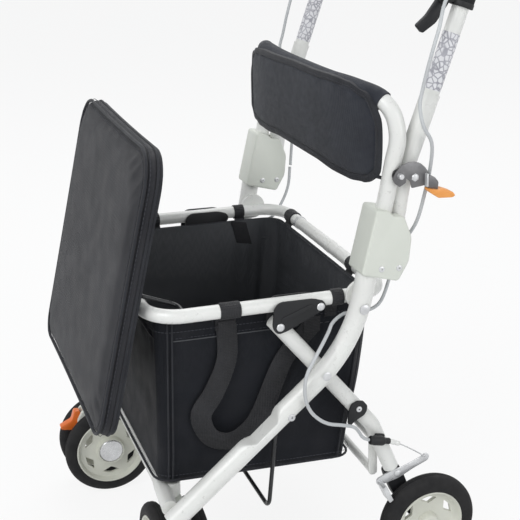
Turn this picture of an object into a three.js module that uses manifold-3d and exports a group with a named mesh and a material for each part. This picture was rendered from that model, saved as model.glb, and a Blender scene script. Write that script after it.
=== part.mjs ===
import * as THREE from 'three';
import { mergeVertices } from 'three/addons/utils/BufferGeometryUtils.js';
import Module from 'manifold-3d';

// Sizes. All lengths are millimetres. X is the trolley's own left, -Y its front, Z up.
// Pairs are places seen from the side, as [y, z]. The whole part moves along Y by SHIFT_Y at the end.
const SHIFT_Y = -54.4;
const GAP = 0.3;
const RUNNING_GAP = 0.4;
const WELD_REACH = 0.001;
const WELD = 1;

// Planes across the trolley: each is set from the one outside it
const HALF_TRACK = 235;
const LEG_RADIUS = 14;
const REAR_LEG_RADIUS = 11;
const SEAT_RADIUS = 9.5;
const HANDLE_RADIUS = 12.7;
const LEG_SPACE = 1;
const SEAT_SPACE = 3.5;
const HANDLE_IN = 10;
const REAR_LEG_X = HALF_TRACK - LEG_RADIUS - LEG_SPACE - REAR_LEG_RADIUS;
const SEAT_X = HALF_TRACK - LEG_RADIUS - SEAT_SPACE - SEAT_RADIUS;
const HANDLE_X = HALF_TRACK - HANDLE_IN;
const CASTER_X = 162;
const SEAT_Z = 430;
const SEAT_FRONT = -165;
const SEAT_BACK = 162;

// Frame
const LEG = { x: HALF_TRACK, radius: LEG_RADIUS, bend: 200, line: [[124, 500], [102, 370], [-152, 150.5]] };
const SEAT_PIVOT = [111, 424];
const SCISSOR_PIVOT = [60, 336];
const HANDLE_PIVOT = [155, 480];
const CROSS_SHORT = 15.2;
const CROSS = {
  radius: 11,
  z: 163,
  outerX: HALF_TRACK - CROSS_SHORT,
  outerY: -150,
  kneeX: CASTER_X,
  kneeY: -146,
  midX: 140,
  midY: -143,
};
const CASTER_HEAD = {
  x: CASTER_X,
  y: -134,
  radius: 14,
  bottom: 150,
  top: 172,
  stemRadius: 7,
  stemTop: 170,
  stemRoom: 1.2,
  stemSunk: 4,
};
const HOUSING_IN = 12.5;
const HOUSING_OUT = 5;
const HOUSING = {
  inner: HALF_TRACK - LEG_RADIUS - HOUSING_IN,
  outer: HALF_TRACK + LEG_RADIUS + HOUSING_OUT,
  outline: [[103, 473], [122, 559], [142, 555], [144, 549], [162, 547], [175, 500], [156, 459]],
  round: 4,
  pocket: [HANDLE_X - HANDLE_RADIUS - GAP, HANDLE_X + HANDLE_RADIUS + RUNNING_GAP],
  pocketOutline: [[138, 480], [142, 503], [149.6, 547], [151, 570], [210, 570], [210, 415], [191.6, 429.5],
    [144.5, 466.7], [139, 471]],
};
const BACKREST_TUBE = {
  radius: 11.1,
  spacing: 46,
  acrossShares: [1, 1, 1, 1, 0.9702, 0.9149, 0.7234, 0.4255, 0],
  half: [[127, 503], [140, 556], [150.5, 615], [155.5, 645], [151.5, 675], [141, 693], [123, 705],
    [119, 706], [118, 706]],
};
const PAD_SHORT = 2;
const SLEEVE_SHORT = 15;
const PAD = {
  halfWidth: HALF_TRACK - PAD_SHORT,
  halfDepth: 7.5,
  sleeveRadius: 14,
  sleeveHalf: HALF_TRACK - SLEEVE_SHORT,
  acrossShares: [0, 0.3004, 0.5579, 0.7382, 0.8798, 0.97],
  middleY: [113.5, 113.5, 115, 118, 121.5, 123.7],
  bottom: [585, 585, 581, 580, 583, 592],
  top: [712, 712, 710, 706, 697, 675],
};
const SUPPORT_WIRE = { radius: 3, x: 197, top: [11, 284], bottom: [-2, 122], bend: 14 };

// Rear legs
const REAR_LEG = {
  x: REAR_LEG_X,
  radius: REAR_LEG_RADIUS,
  bend: 60,
  line: [[-1, 409], [146, 233], [178, 160]],
};
const REAR_CROSS = { radius: 9.5, at: [156.5, 207], half: REAR_LEG_X - REAR_LEG_RADIUS - GAP };
const STRUT_IN = 1.1;
const STRUT_THICK = 2.8;
const BAR_SHORT = 1.6;
const STRUT_FACE = REAR_CROSS.half - STRUT_IN;
const BRAKE_BAR = {
  radius: 6,
  at: [157, 150],
  half: STRUT_FACE - BAR_SHORT,
  strut: [STRUT_FACE - STRUT_THICK, STRUT_FACE],
  strutTop: [155, 200],
};
const STRUT_WIDTH = 13;
const BRACKET_IN = 12;
const BRACKET_OUT = 3;
const BRACKET = {
  inner: REAR_LEG_X - BRACKET_IN,
  outer: REAR_LEG_X + BRACKET_OUT,
  outline: [[167.3, 154.9], [188.5, 164.1], [198, 146], [205, 129], [243, 80], [241, 63], [226, 59],
    [216, 68], [183, 115], [173, 137]],
  round: 5,
};
const WHEEL_SPACE = 2;
const WHEEL_WIDTH = 28;
const WHEEL_INNER = BRACKET.outer + WHEEL_SPACE;
const REAR_RADIUS = 73;
const REAR_TYRE_DEPTH = 22.5;
const REAR_RIM_RADIUS = REAR_RADIUS - REAR_TYRE_DEPTH;
const REAR_BAND = 8.5;
const REAR_WHEEL = {
  y: 230,
  z: REAR_RADIUS,
  radius: REAR_RADIUS,
  inner: WHEEL_INNER,
  outer: WHEEL_INNER + WHEEL_WIDTH,
  rim: REAR_RIM_RADIUS,
  axle: 5,
  windows: [20, REAR_RIM_RADIUS - REAR_BAND],
};
const BRAKE_PIVOT = [186, 151];
const ARM_SPACE = 1.4;
const ARM_THICK = 3;
const SHOE_SHORT = 6;
const ARM_FACE = BRACKET.outer + ARM_SPACE;
const BRAKE_ARM = {
  plate: [ARM_FACE, ARM_FACE + ARM_THICK],
  outline: [[154, 147], [154, 138], [162, 137], [188, 143], [212, 155], [234, 164], [236, 171], [230, 176],
    [222, 170], [192, 159], [180, 158]],
  round: 3,
  shoe: [[154.4, 142.4], [160.2, 145.2], [171.9, 120.8], [166.4, 117.1]],
  shoePlate: [ARM_FACE, REAR_WHEEL.outer - SHOE_SHORT],
  pin: 3,
};
const ADJUSTER_OUT = 19.6;
const ADJUSTER = {
  x: REAR_LEG_X + ADJUSTER_OUT,
  radius: 7,
  start: [135, 219],
  end: [158, 214],
  nose: [166, 212],
  noseRadius: 4.5,
};
const ADJUSTER_FACE = REAR_LEG_X + REAR_LEG_RADIUS + GAP;
const ADJUSTER_THICK = 3.7;
const ADJUSTER_TAB = {
  plate: [ADJUSTER_FACE, ADJUSTER_FACE + ADJUSTER_THICK],
  outline: [[143, 213], [146, 224], [160, 221], [158, 209]],
};

// Seat frame and bag
const SEAT = {
  x: SEAT_X,
  z: SEAT_Z,
  radius: SEAT_RADIUS,
  front: SEAT_FRONT,
  back: SEAT_BACK,
  corner: 45,
  seamX: 12,
  seam: 0.5,
};
const LUG_OUT = 8;
const LUG = {
  plate: [SEAT_X + LUG_OUT, HALF_TRACK - LEG_RADIUS - RUNNING_GAP],
  centre: [117, 434],
  radius: 20,
};
const LINK_THICK = 3;
const LINK_INNER_THICK = 2.7;
const LINK_REACH = REAR_LEG_RADIUS + RUNNING_GAP;
const LINK = {
  outerPlate: [REAR_LEG_X + LINK_REACH, REAR_LEG_X + LINK_REACH + LINK_THICK],
  innerPlate: [REAR_LEG_X - LINK_REACH - LINK_INNER_THICK, REAR_LEG_X - LINK_REACH],
  top: [60, 425],
  foot: [4, 403],
  outline: [[-7, 403], [-5, 430], [3, 438], [50, 437.5], [66, 432], [68, 421], [57, 416.5], [13, 396],
    [0, 393]],
  round: 5,
  pin: 3,
};
// The bag's rings, from its base up: how far each lies below and inside the seat tube
const BAG = {
  wall: 3.5,
  corner: 25,
  down: [253, 247, 208, 100, 10],
  side: [27, 22.5, 20.5, 18.5, 17],
  front: [10, 7, 8, 9, 10],
  back: [41, 35, 31, 21, 12],
};
const BAG_LOOP = {
  radius: 11.2,
  bore: 9.8,
  sides: [[-75, -47], [79, 96]],
  back: [[-160, -134], [88, 110]],
  tabDepth: 3,
  tabIn: [18.5, 6.7],
  tabDown: [13, 7.6],
};
const BAG_HANDLE = {
  inner: 19.5,
  outer: 14.6,
  width: 25,
  spacing: 24,
  route: [[-60, 405], [-60, 355], [-79, 308], [-97, 278], [-84, 244], [-56, 234], [-22, 252], [22, 345],
    [62, 388]],
};

// Lid and its wire arm, in the lid's own plane: s runs up the lid, q out of it to the seat face
const LID_SHORT = 3;
const LID_ARM_SHORT = 4;
const LID = {
  hinge: [-170, 449],
  lean: 12.3,
  halfWidth: SEAT_X - LID_SHORT,
  low: -194.5,
  high: 194.5,
  cornerLow: 36,
  cornerHigh: 54,
  boardFrom: 5,
  boardTo: 12,
  pinch: 2.5,
  clipHalf: 6,
  clipX: 120,
  clipRadius: 7,
  boardInsets: [4, 2, 2],
};
const CUSHION = { inset: [2, 0, 0.5, 5, 16, 55], q: [12.3, 16, 23, 28.5, 32, 34.5] };
const LID_ARM = {
  radius: 3,
  pivot: [-118.2, 429],
  endX: SEAT_X - LID_ARM_SHORT,
  x: 165,
  bend: 10,
  bore: 3.4,
};

// Handle
const HANDLE = {
  x: HANDLE_X,
  radius: HANDLE_RADIUS,
  bore: 11.4,
  upperRadius: 11.1,
  foot: [153.5, 470.1],
  knee: [168.5, 592],
  kneeBend: 220,
  top: [204, 697],
  boreDepth: 86,
  inserted: 85,
  shown: 116,
  pinHole: 4.4,
};
const GRIP = {
  radius: 15,
  spacing: 38,
  straight: [116.7, 134, 150],
  acrossShares: [1, 0.9956, 0.9822, 0.9378, 0.8533, 0.7111, 0.3556, 0],
  bend: [[264, 857], [283, 869], [303, 876], [320, 880.5], [329, 882.5], [331, 883], [332, 883],
    [332, 883]],
};
const BLADE_HALF = 3.6;
const CHEEK_THICK = 3.4;
const CHEEK_REACH = BLADE_HALF + RUNNING_GAP;
const LEVER = {
  pivot: [214, 819],
  blade: [HANDLE_X - BLADE_HALF, HANDLE_X + BLADE_HALF],
  outline: [[205, 826], [206, 815], [192, 796], [178, 784], [187, 774], [205, 786], [222, 810], [223, 824],
    [220, 848], [230, 872], [252, 895], [247, 901], [221, 880], [210, 852]],
  round: 3,
  pin: 3,
  cheekOuter: [HANDLE_X + CHEEK_REACH, HANDLE_X + CHEEK_REACH + CHEEK_THICK],
  cheekInner: [HANDLE_X - CHEEK_REACH - CHEEK_THICK, HANDLE_X - CHEEK_REACH],
  cheekOutline: [[206, 812], [214, 809.5], [228, 811.5], [240, 812], [247, 826], [222, 829], [208, 828]],
};
const LATCH_OUT = 15;
const LATCH_THICK = 2;
const LATCH_TAB_OUT = 11;
const LATCH_TAB_WIDTH = 16;
const LATCH = {
  plate: [HALF_TRACK + LATCH_OUT, HALF_TRACK + LATCH_OUT + LATCH_THICK],
  pivot: [174, 597],
  post: [152, 601],
  outline: [[155, 614], [164, 617.5], [173, 617.5], [181, 615], [188, 609], [194, 601], [189, 585.5],
    [170, 583], [167.5, 592], [162, 597], [161.5, 591], [153, 586], [146, 591], [142.5, 597], [147, 606]],
  round: 1.5,
  tabPlate: [HALF_TRACK + LATCH_TAB_OUT, HALF_TRACK + LATCH_TAB_OUT + LATCH_TAB_WIDTH],
  tabOutline: [[184, 590], [190, 579], [204, 570.5], [224, 569], [228, 571], [224, 576], [211, 581], [203, 590]],
  pin: 4,
};

// Casters
const FORK_HALF = 13.4;
const LOCK_HALF = 7;
const CASTER_SPACE = 2.1;
const CASTER_WIDTH = 22;
const CASTER_OUTER = CASTER_X + FORK_HALF + CASTER_SPACE;
const CASTER_INNER = CASTER_X - FORK_HALF - CASTER_SPACE - CASTER_WIDTH;
const AXLE_IN = 3.5;
const CASTER_RADIUS = 73;
const CASTER_TYRE_DEPTH = 17.5;
const CASTER_RIM_RADIUS = CASTER_RADIUS - CASTER_TYRE_DEPTH;
const CASTER_BAND = 7.5;
const CASTER_TURN = Math.PI / 2;
const CASTER = {
  axle: [-158, CASTER_RADIUS],
  forkInner: CASTER_X - FORK_HALF,
  forkOuter: CASTER_X + FORK_HALF,
  outline: [[-118, 142], [-118, 149.6], [-150, 149.6], [-198, 138], [-206, 122], [-203, 104], [-176, 96],
    [-170, 62], [-158, 56], [-146, 62], [-140, 96]],
  round: 4,
  lockWindow: [CASTER_X - LOCK_HALF - RUNNING_GAP, CASTER_X + LOCK_HALF + RUNNING_GAP],
  lockWindowOutline: [[-230, 98], [-230, 150], [-196, 150], [-196, 98]],
  wheelRadius: CASTER_RADIUS,
  rim: CASTER_RIM_RADIUS,
  windows: [24, CASTER_RIM_RADIUS - CASTER_BAND],
  tyreWidth: CASTER_WIDTH,
  outerWheel: CASTER_OUTER,
  innerWheel: CASTER_INNER,
  axleRadius: 5,
  axleFrom: CASTER_INNER + AXLE_IN,
  axleTo: CASTER_OUTER + CASTER_WIDTH - AXLE_IN,
  boreShort: 2.6,
};
const CASTER_LOCK = {
  pivot: [-203, 112],
  plate: [CASTER_X - LOCK_HALF, CASTER_X + LOCK_HALF],
  outline: [[-197.5, 118], [-197.5, 106], [-205, 104], [-231, 108], [-233, 113], [-214, 122], [-209, 138],
    [-200, 137]],
  round: 2,
  pin: 2.5,
};

// Cables, as places along the route: each is [out from the main tube, y, z]
const CABLE = { radius: 2.4, step: 14.4 };
const CABLE_UPPER = [[0.2, 218, 823], [3, 211, 812], [10, 204, 799], [15, 199, 785], [15, 193, 763],
  [15, 186, 736], [15, 180, 709], [17, 176, 690], [19, 181, 664], [15, 196, 640], [8, 200, 610],
  [3, 196, 570], [-5, 190, 530], [-21, 182, 500]];
const CABLE_LOWER = [[-29, 178, 499], [-33, 174, 470], [-30, 166, 444], [-23, 148, 413],
  [-19, 120, 407], [-19, 97, 408], [-13, 78, 400], [1, 66, 393], [15, 50, 380], [20, 38, 364],
  [21, 29, 347], [21, 26, 325], [21, 29, 305], [21, 38, 288], [20, 58, 271], [15, 84, 261],
  [6, 105, 250], [-2, 116, 237], [-5.5, 124, 225], [-6.4, 133.6, 219.6]];

// Counts, shares and colours
const TUBE_SIDES = 12;
const WIRE_SIDES = 8;
const BOLT_SIDES = 10;
const HOLE_SIDES = 10;
const REAR_WHEEL_SIDES = 24;
const CASTER_WHEEL_SIDES = 16;
const CORNER_STEPS = 2;
const SPOKES = 6;
const REAR_SPOKE_SHARE = 0.14;
const CASTER_SPOKE_SHARE = 0.2;
const TYRE_SHARES = [[0, 0.05], [0.6, 0], [0.9, 0.18], [1, 0.5], [0.9, 0.82], [0.6, 1], [0, 0.95]];
const PAD_TURNS = 10;
const PAD_SQUARE_SHARE = 0.62;
const WHITE = '#ebece8';
const CREAM = '#d8dcd2';
const BLACK = '#26272b';
const SOFT_BLACK = '#3e424c';
const STEEL = '#b8babb';
const ORANGE = '#f28a32';
const GREY = '#c9ccce';

const wasm = await Module();
wasm.setup();
const AXIS_X = new THREE.Vector3(1, 0, 0);
const AXIS_Y = new THREE.Vector3(0, 1, 0);
const AXIS_Z = new THREE.Vector3(0, 0, 1);
const sideways = (x, [y, z]) => new THREE.Vector3(x, y, z);

// A route through stations, with one ring of a sweep at each of them
class Route extends THREE.Curve {
  constructor(stations) {
    super();
    this.stations = stations;
  }

  getPointAt(share) {
    const last = this.stations.length - 1;
    const index = Math.min(Math.floor(share * last), last - 1);
    const [start, end] = this.stations.slice(index, index + 2);
    return new THREE.Vector3().lerpVectors(start, end, share * last - index);
  }

  getPoint(share) {
    return this.getPointAt(share);
  }

  getTangentAt(share) {
    const last = this.stations.length - 1;
    const index = Math.round(share * last);
    const heading = (from, to) => this.stations[to].clone().sub(this.stations[from]).normalize();
    const before = index > 0 ? heading(index - 1, index) : new THREE.Vector3();
    const after = index < last ? heading(index, index + 1) : new THREE.Vector3();
    return before.add(after).normalize();
  }
}

// Rounds one corner of a path with an arc
function cornerArc(before, corner, after, radius, steps) {
  const inward = corner.clone().sub(before).normalize();
  const outward = after.clone().sub(corner).normalize();
  const turn = inward.angleTo(outward);
  const start = corner.clone().addScaledVector(inward, -radius * Math.tan(turn / 2));
  const side = outward.clone().addScaledVector(inward, -Math.cos(turn)).normalize();
  return Array.from({ length: steps + 1 }, (_, step) => {
    const angle = turn * step / steps;
    return start.clone().addScaledVector(inward, radius * Math.sin(angle))
      .addScaledVector(side, radius * (1 - Math.cos(angle)));
  });
}

function bent(corners, radius, steps) {
  const last = corners.length - 1;
  return corners.flatMap((corner, index) => (index === 0 || index === last
    ? [corner]
    : cornerArc(corners[index - 1], corner, corners[index + 1], radius, steps)));
}

function roundedLoop(corners, radius, steps) {
  const count = corners.length;
  return corners.flatMap((corner, index) => cornerArc(
    corners[(index + count - 1) % count], corner, corners[(index + 1) % count],
    Array.isArray(radius) ? radius[index] : radius, steps));
}

// Evenly spaced stations on a smooth curve through the places
function smooth(places, spacing) {
  const points = places.map((place) => new THREE.Vector3(...place));
  const curve = new THREE.CatmullRomCurve3(points, false, 'centripetal');
  return curve.getSpacedPoints(Math.ceil(curve.getLength() / spacing));
}

const acrossBoth = (half) => [...half, ...half.slice(0, -1).reverse().map(([x, y, z]) => [-x, y, z])];

function circle(radius, sides, centre = [0, 0]) {
  return Array.from({ length: sides }, (_, side) => {
    const angle = 2 * Math.PI * side / sides;
    return new THREE.Vector2(centre[0] + radius * Math.cos(angle), centre[1] + radius * Math.sin(angle));
  });
}

function volumeOf(geometry) {
  const place = geometry.getAttribute('position');
  const index = geometry.getIndex();
  const corners = [0, 1, 2].map(() => new THREE.Vector3());
  let volume = 0;
  for (let start = 0; start < index.count; start += corners.length) {
    corners.forEach((corner, turn) => corner.fromBufferAttribute(place, index.getX(start + turn)));
    volume += corners[0].dot(corners[1].cross(corners[2]));
  }
  return volume;
}

function flipped(geometry) {
  const index = Array.from(geometry.getIndex().array);
  for (let start = 0; start < index.length; start += 3) {
    [index[start], index[start + 1]] = [index[start + 1], index[start]];
  }
  geometry.setIndex(index);
  return geometry;
}

// Joins equal corners, drops empty triangles and turns every face outwards
function closed(geometry) {
  const bare = new THREE.BufferGeometry();
  bare.setAttribute('position', geometry.getAttribute('position'));
  bare.setIndex(geometry.getIndex());
  const joined = mergeVertices(bare, WELD_REACH);
  const index = joined.getIndex().array;
  const kept = [];
  for (let start = 0; start < index.length; start += 3) {
    const [a, b, c] = index.slice(start, start + 3);
    if (a !== b && b !== c && c !== a) kept.push(a, b, c);
  }
  joined.setIndex(kept);
  return volumeOf(joined) < 0 ? flipped(joined) : joined;
}

const mirrored = (geometry) => flipped(geometry.clone().scale(-1, 1, 1));

function solidOf(geometry) {
  const bare = closed(geometry);
  return new wasm.Manifold(new wasm.Mesh({
    numProp: 3,
    vertProperties: new Float32Array(bare.getAttribute('position').array),
    triVerts: new Uint32Array(bare.getIndex().array),
  }));
}

function geometryOf(solid) {
  const mesh = solid.getMesh();
  const geometry = new THREE.BufferGeometry();
  const corners = Float32Array.from(mesh.vertProperties);
  geometry.setAttribute('position', new THREE.BufferAttribute(corners, mesh.numProp));
  geometry.setIndex(Array.from(mesh.triVerts));
  return closed(geometry);
}

const united = (...pieces) => geometryOf(pieces.map(solidOf).reduce((whole, piece) => whole.add(piece)));
const cut = (piece, ...tools) => geometryOf(
  tools.map(solidOf).reduce((whole, tool) => whole.subtract(tool), solidOf(piece)));

function sweep(stations, radius, sides) {
  const shape = new THREE.Shape(circle(radius, sides));
  return closed(new THREE.ExtrudeGeometry(shape, {
    steps: stations.length - 1,
    bevelEnabled: false,
    extrudePath: new Route(stations),
  }));
}

// The room that a swept piece needs round it and past its ends
function roomFor(stations, radius, sides) {
  const last = stations.length - 1;
  const pushed = (from, to) => to.clone().add(to.clone().sub(from).setLength(GAP));
  const ends = [pushed(stations[1], stations[0]), pushed(stations[last - 1], stations[last])];
  return sweep([ends[0], ...stations.slice(1, -1), ends[1]], radius + GAP, sides);
}

// The part of a route that lies within a width
function within(stations, half) {
  const inside = stations.filter(({ x }) => Math.abs(x) < half);
  const first = stations.indexOf(inside[0]);
  const beyond = [stations[first - 1], stations[first + inside.length]];
  const ends = [inside[0], inside[inside.length - 1]].map((inner, end) => {
    const share = (half - Math.abs(inner.x)) / (Math.abs(beyond[end].x) - Math.abs(inner.x));
    return inner.clone().lerp(beyond[end], share);
  });
  return [ends[0], ...inside, ends[1]];
}

const rod = (fromX, toX, at, radius, sides = HOLE_SIDES) => (
  sweep([sideways(fromX, at), sideways(toX, at)], radius, sides));

// A flat plate standing in the side view, from one X to another
function plate(outline, [fromX, toX], holes = []) {
  const shape = new THREE.Shape(outline.map((place) => new THREE.Vector2(...place)));
  holes.forEach(({ at, radius }) => shape.holes.push(new THREE.Path(circle(radius, HOLE_SIDES, at))));
  const geometry = new THREE.ExtrudeGeometry(shape, { depth: toX - fromX, bevelEnabled: false });
  geometry.applyMatrix4(new THREE.Matrix4().makeBasis(AXIS_Y, AXIS_Z, AXIS_X));
  return closed(geometry.translate(fromX, 0, 0));
}

function roundedOutline(outline, radius) {
  return roundedLoop(outline.map((place) => new THREE.Vector3(...place, 0)), radius, CORNER_STEPS)
    .map(({ x, y }) => [x, y]);
}

// An outline round a line with round ends
function stadium(from, to, fromRadius, toRadius) {
  const heading = Math.atan2(to[1] - from[1], to[0] - from[0]);
  const end = (centre, radius, start) => Array.from({ length: HOLE_SIDES / 2 + 1 }, (_, step) => {
    const angle = start + Math.PI * step * 2 / HOLE_SIDES;
    return [centre[0] + radius * Math.cos(angle), centre[1] + radius * Math.sin(angle)];
  });
  return [...end(to, toRadius, heading - Math.PI / 2), ...end(from, fromRadius, heading + Math.PI / 2)];
}

// Turns a profile of [radius, x] round the X axis through a place
function turned(profile, [y, z], sides) {
  const geometry = new THREE.LatheGeometry(profile.map((place) => new THREE.Vector2(...place)), sides);
  geometry.applyMatrix4(new THREE.Matrix4().makeBasis(AXIS_Y, AXIS_X, AXIS_Z.clone().negate()));
  return closed(geometry.translate(0, y, z));
}

// A bolt is a row of steps, each [from x, to x, radius]
function bolt(at, steps) {
  const profile = [[0, steps[0][0]]];
  steps.forEach(([fromX, toX, radius]) => profile.push([radius, fromX], [radius, toX]));
  profile.push([0, steps[steps.length - 1][1]]);
  return turned(profile, at, BOLT_SIDES);
}

// Skins rings of equal count and closes both ends
function loft(rings) {
  const count = rings[0].length;
  const places = rings.flat();
  const middles = [rings[0], rings[rings.length - 1]].map((ring) => ring
    .reduce((sum, place) => sum.add(place), new THREE.Vector3()).divideScalar(count));
  const index = [];
  for (let row = 0; row < rings.length - 1; row += 1) {
    for (let side = 0; side < count; side += 1) {
      const next = (side + 1) % count;
      const [a, b] = [row * count + side, row * count + next];
      index.push(a, b, b + count, a, b + count, a + count);
    }
  }
  const lastRow = (rings.length - 1) * count;
  for (let side = 0; side < count; side += 1) {
    const next = (side + 1) % count;
    index.push(places.length, next, side, places.length + 1, lastRow + side, lastRow + next);
  }
  const geometry = new THREE.BufferGeometry().setFromPoints([...places, ...middles]);
  geometry.setIndex(index);
  return closed(geometry);
}

const trolley = new THREE.Group();
trolley.name = 'shopping_trolley_with_seat';
function add(name, geometry, colour) {
  const mesh = new THREE.Mesh(geometry, new THREE.MeshStandardMaterial({ color: colour }));
  mesh.name = name;
  trolley.add(mesh);
}
function addSides(name, geometry, colour) {
  add(`${name}_left`, geometry, colour);
  add(`${name}_right`, mirrored(geometry), colour);
}

// Front legs: one bent tube each side, from the hinge housing down to the foot
const BOLT = { radius: 4, head: 8, headDepth: 2.8, nut: 7, rivetHead: 5.5, rivetDepth: 2 };
const legStations = bent(LEG.line.map((place) => sideways(LEG.x, place)), LEG.bend, 7);
const legTube = sweep(legStations, LEG.radius, TUBE_SIDES + 2);
const legSide = LEG.x + LEG.radius;
const pinHole = BOLT.radius + GAP;
function frontLeg() {
  const through = [LEG.x - 2 * LEG.radius, LEG.x + 2 * LEG.radius];
  return cut(legTube, rod(...through, SEAT_PIVOT, pinHole), rod(...through, SCISSOR_PIVOT, pinHole));
}
addSides('front_leg', frontLeg(), WHITE);

// Front cross tube with the two upright sleeves that hold the casters
function crossTube() {
  const half = [[CROSS.outerX, CROSS.outerY], [CROSS.kneeX, CROSS.kneeY], [CROSS.midX, CROSS.midY]];
  const corners = [...half, ...half.slice().reverse().map(([x, y]) => [-x, y])]
    .map(([x, y]) => new THREE.Vector3(x, y, CROSS.z));
  const upright = (radius, low, high, side) => sweep(
    [low, high].map((z) => new THREE.Vector3(side * CASTER_HEAD.x, CASTER_HEAD.y, z)), radius, TUBE_SIDES + 2);
  const sides = [1, -1];
  const bore = CASTER_HEAD.stemRadius + RUNNING_GAP;
  const boreTop = CASTER_HEAD.stemTop + CASTER_HEAD.stemRoom;
  const whole = united(sweep(corners, CROSS.radius, TUBE_SIDES),
    ...sides.map((side) => upright(CASTER_HEAD.radius, CASTER_HEAD.bottom, CASTER_HEAD.top, side)));
  return cut(whole, ...sides.map((side) => upright(bore, CASTER_HEAD.bottom - bore, boreTop, side)));
}
add('front_cross_tube', crossTube(), WHITE);

// Backrest: one bent tube, with a padded sleeve that hangs from it
const backrestStations = smooth(acrossBoth(BACKREST_TUBE.half.map(([y, z], index) => [
  HALF_TRACK * BACKREST_TUBE.acrossShares[index], y, z])), BACKREST_TUBE.spacing);
const backrestRoom = roomFor(backrestStations, BACKREST_TUBE.radius, TUBE_SIDES);
function backrestTube() {
  const stud = rod(LEG.x, LATCH.plate[0] - GAP, LATCH.post, LATCH.pin);
  return united(sweep(backrestStations, BACKREST_TUBE.radius, TUBE_SIDES), stud, mirrored(stud));
}
add('backrest_tube', backrestTube(), WHITE);

function padRing(x, middleY, bottom, top, depth) {
  return Array.from({ length: PAD_TURNS }, (_, turn) => {
    const angle = 2 * Math.PI * (turn + 0.5) / PAD_TURNS;
    const squared = (value) => Math.sign(value) * Math.abs(value) ** PAD_SQUARE_SHARE;
    return new THREE.Vector3(x, middleY - depth * squared(Math.cos(angle)),
      (bottom + top) / 2 + (top - bottom) / 2 * squared(Math.sin(angle)));
  });
}

function backrestPad() {
  const last = PAD.acrossShares.length - 1;
  const sections = PAD.acrossShares.map((share, index) => ({
    x: PAD.halfWidth * share,
    args: [PAD.middleY[index], PAD.bottom[index], PAD.top[index], PAD.halfDepth],
  }));
  const inset = PAD.halfDepth;
  const [low, high] = [PAD.bottom[last] + inset, PAD.top[last] - inset];
  sections.push({ x: PAD.halfWidth, args: [PAD.middleY[last], low, high, inset / 3] });
  const rings = [...sections.slice(1).reverse().map(({ x, args }) => padRing(-x, ...args)),
    ...sections.map(({ x, args }) => padRing(x, ...args))];
  const sleeve = sweep(within(backrestStations, PAD.sleeveHalf), PAD.sleeveRadius, TUBE_SIDES);
  return cut(united(loft(rings), sleeve), backrestRoom);
}
add('backrest_pad', backrestPad(), SOFT_BLACK);

// Hinge housings: moulded shells that hold the front leg, the backrest tube and the folding handle
function housing() {
  const body = plate(roundedOutline(HOUSING.outline, HOUSING.round), [HOUSING.inner, HOUSING.outer]);
  const pin = rod(HOUSING.inner + WELD, HOUSING.outer - WELD, HANDLE_PIVOT, BOLT.radius);
  const legRoom = roomFor(legStations, LEG.radius, TUBE_SIDES + 2);
  return united(cut(body, legRoom, backrestRoom, plate(HOUSING.pocketOutline, HOUSING.pocket)), pin);
}
addSides('hinge_housing', housing(), CREAM);

// Pivot bolts: one through the front leg into the seat frame's lug, one through both legs
const headFrom = legSide + GAP;
const headTo = headFrom + BOLT.headDepth;
addSides('seat_pivot_bolt', bolt(SEAT_PIVOT, [[SEAT.x + SEAT.radius + GAP, headFrom, BOLT.radius],
  [headFrom, headTo, BOLT.head]]), STEEL);
const nutTo = REAR_LEG.x - REAR_LEG.radius - GAP;
addSides('scissor_bolt', bolt(SCISSOR_PIVOT, [[nutTo - BOLT.headDepth, nutTo, BOLT.nut],
  [nutTo, headFrom, BOLT.radius], [headFrom, headTo, BOLT.head]]), STEEL);

// Wire under the bag, bent inwards from the front legs
function supportWire() {
  const half = [
    sideways(LEG.x - LEG.radius - GAP, SUPPORT_WIRE.top),
    sideways(SUPPORT_WIRE.x, SUPPORT_WIRE.top),
    sideways(SUPPORT_WIRE.x, SUPPORT_WIRE.bottom),
  ];
  const other = half.slice().reverse().map(({ x, y, z }) => new THREE.Vector3(-x, y, z));
  return sweep(bent([...half, ...other], SUPPORT_WIRE.bend, CORNER_STEPS), SUPPORT_WIRE.radius, WIRE_SIDES);
}
add('bag_support_wire', supportWire(), STEEL);

// Brake cables: the lower run stays with the frame, the upper run with the handle
function cable(route) {
  const places = route.map(([out, y, z]) => [HALF_TRACK + out, y, z]);
  return sweep(smooth(places, CABLE.step), CABLE.radius, WIRE_SIDES);
}
addSides('brake_cable_lower', cable(CABLE_LOWER), GREY);
addSides('brake_cable_upper', cable(CABLE_UPPER), GREY);

// Rear legs, the other half of the scissor, with their cross tube
function rearLeg() {
  const tube = sweep(bent(REAR_LEG.line.map((place) => sideways(REAR_LEG.x, place)), REAR_LEG.bend, 4),
    REAR_LEG.radius, TUBE_SIDES);
  const reach = 2 * REAR_LEG.radius;
  return cut(tube, rod(REAR_LEG.x - reach, REAR_LEG.x + reach, SCISSOR_PIVOT, BOLT.radius + RUNNING_GAP));
}
addSides('rear_leg', rearLeg(), WHITE);

function rearCrossFrame() {
  const strutOutline = stadium(BRAKE_BAR.strutTop, BRAKE_BAR.at, STRUT_WIDTH / 2, STRUT_WIDTH / 2);
  const strut = plate(strutOutline, BRAKE_BAR.strut);
  return united(rod(-REAR_CROSS.half, REAR_CROSS.half, REAR_CROSS.at, REAR_CROSS.radius, TUBE_SIDES),
    rod(-BRAKE_BAR.half, BRAKE_BAR.half, BRAKE_BAR.at, BRAKE_BAR.radius), strut, mirrored(strut));
}
add('rear_cross_frame', rearCrossFrame(), WHITE);

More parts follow.
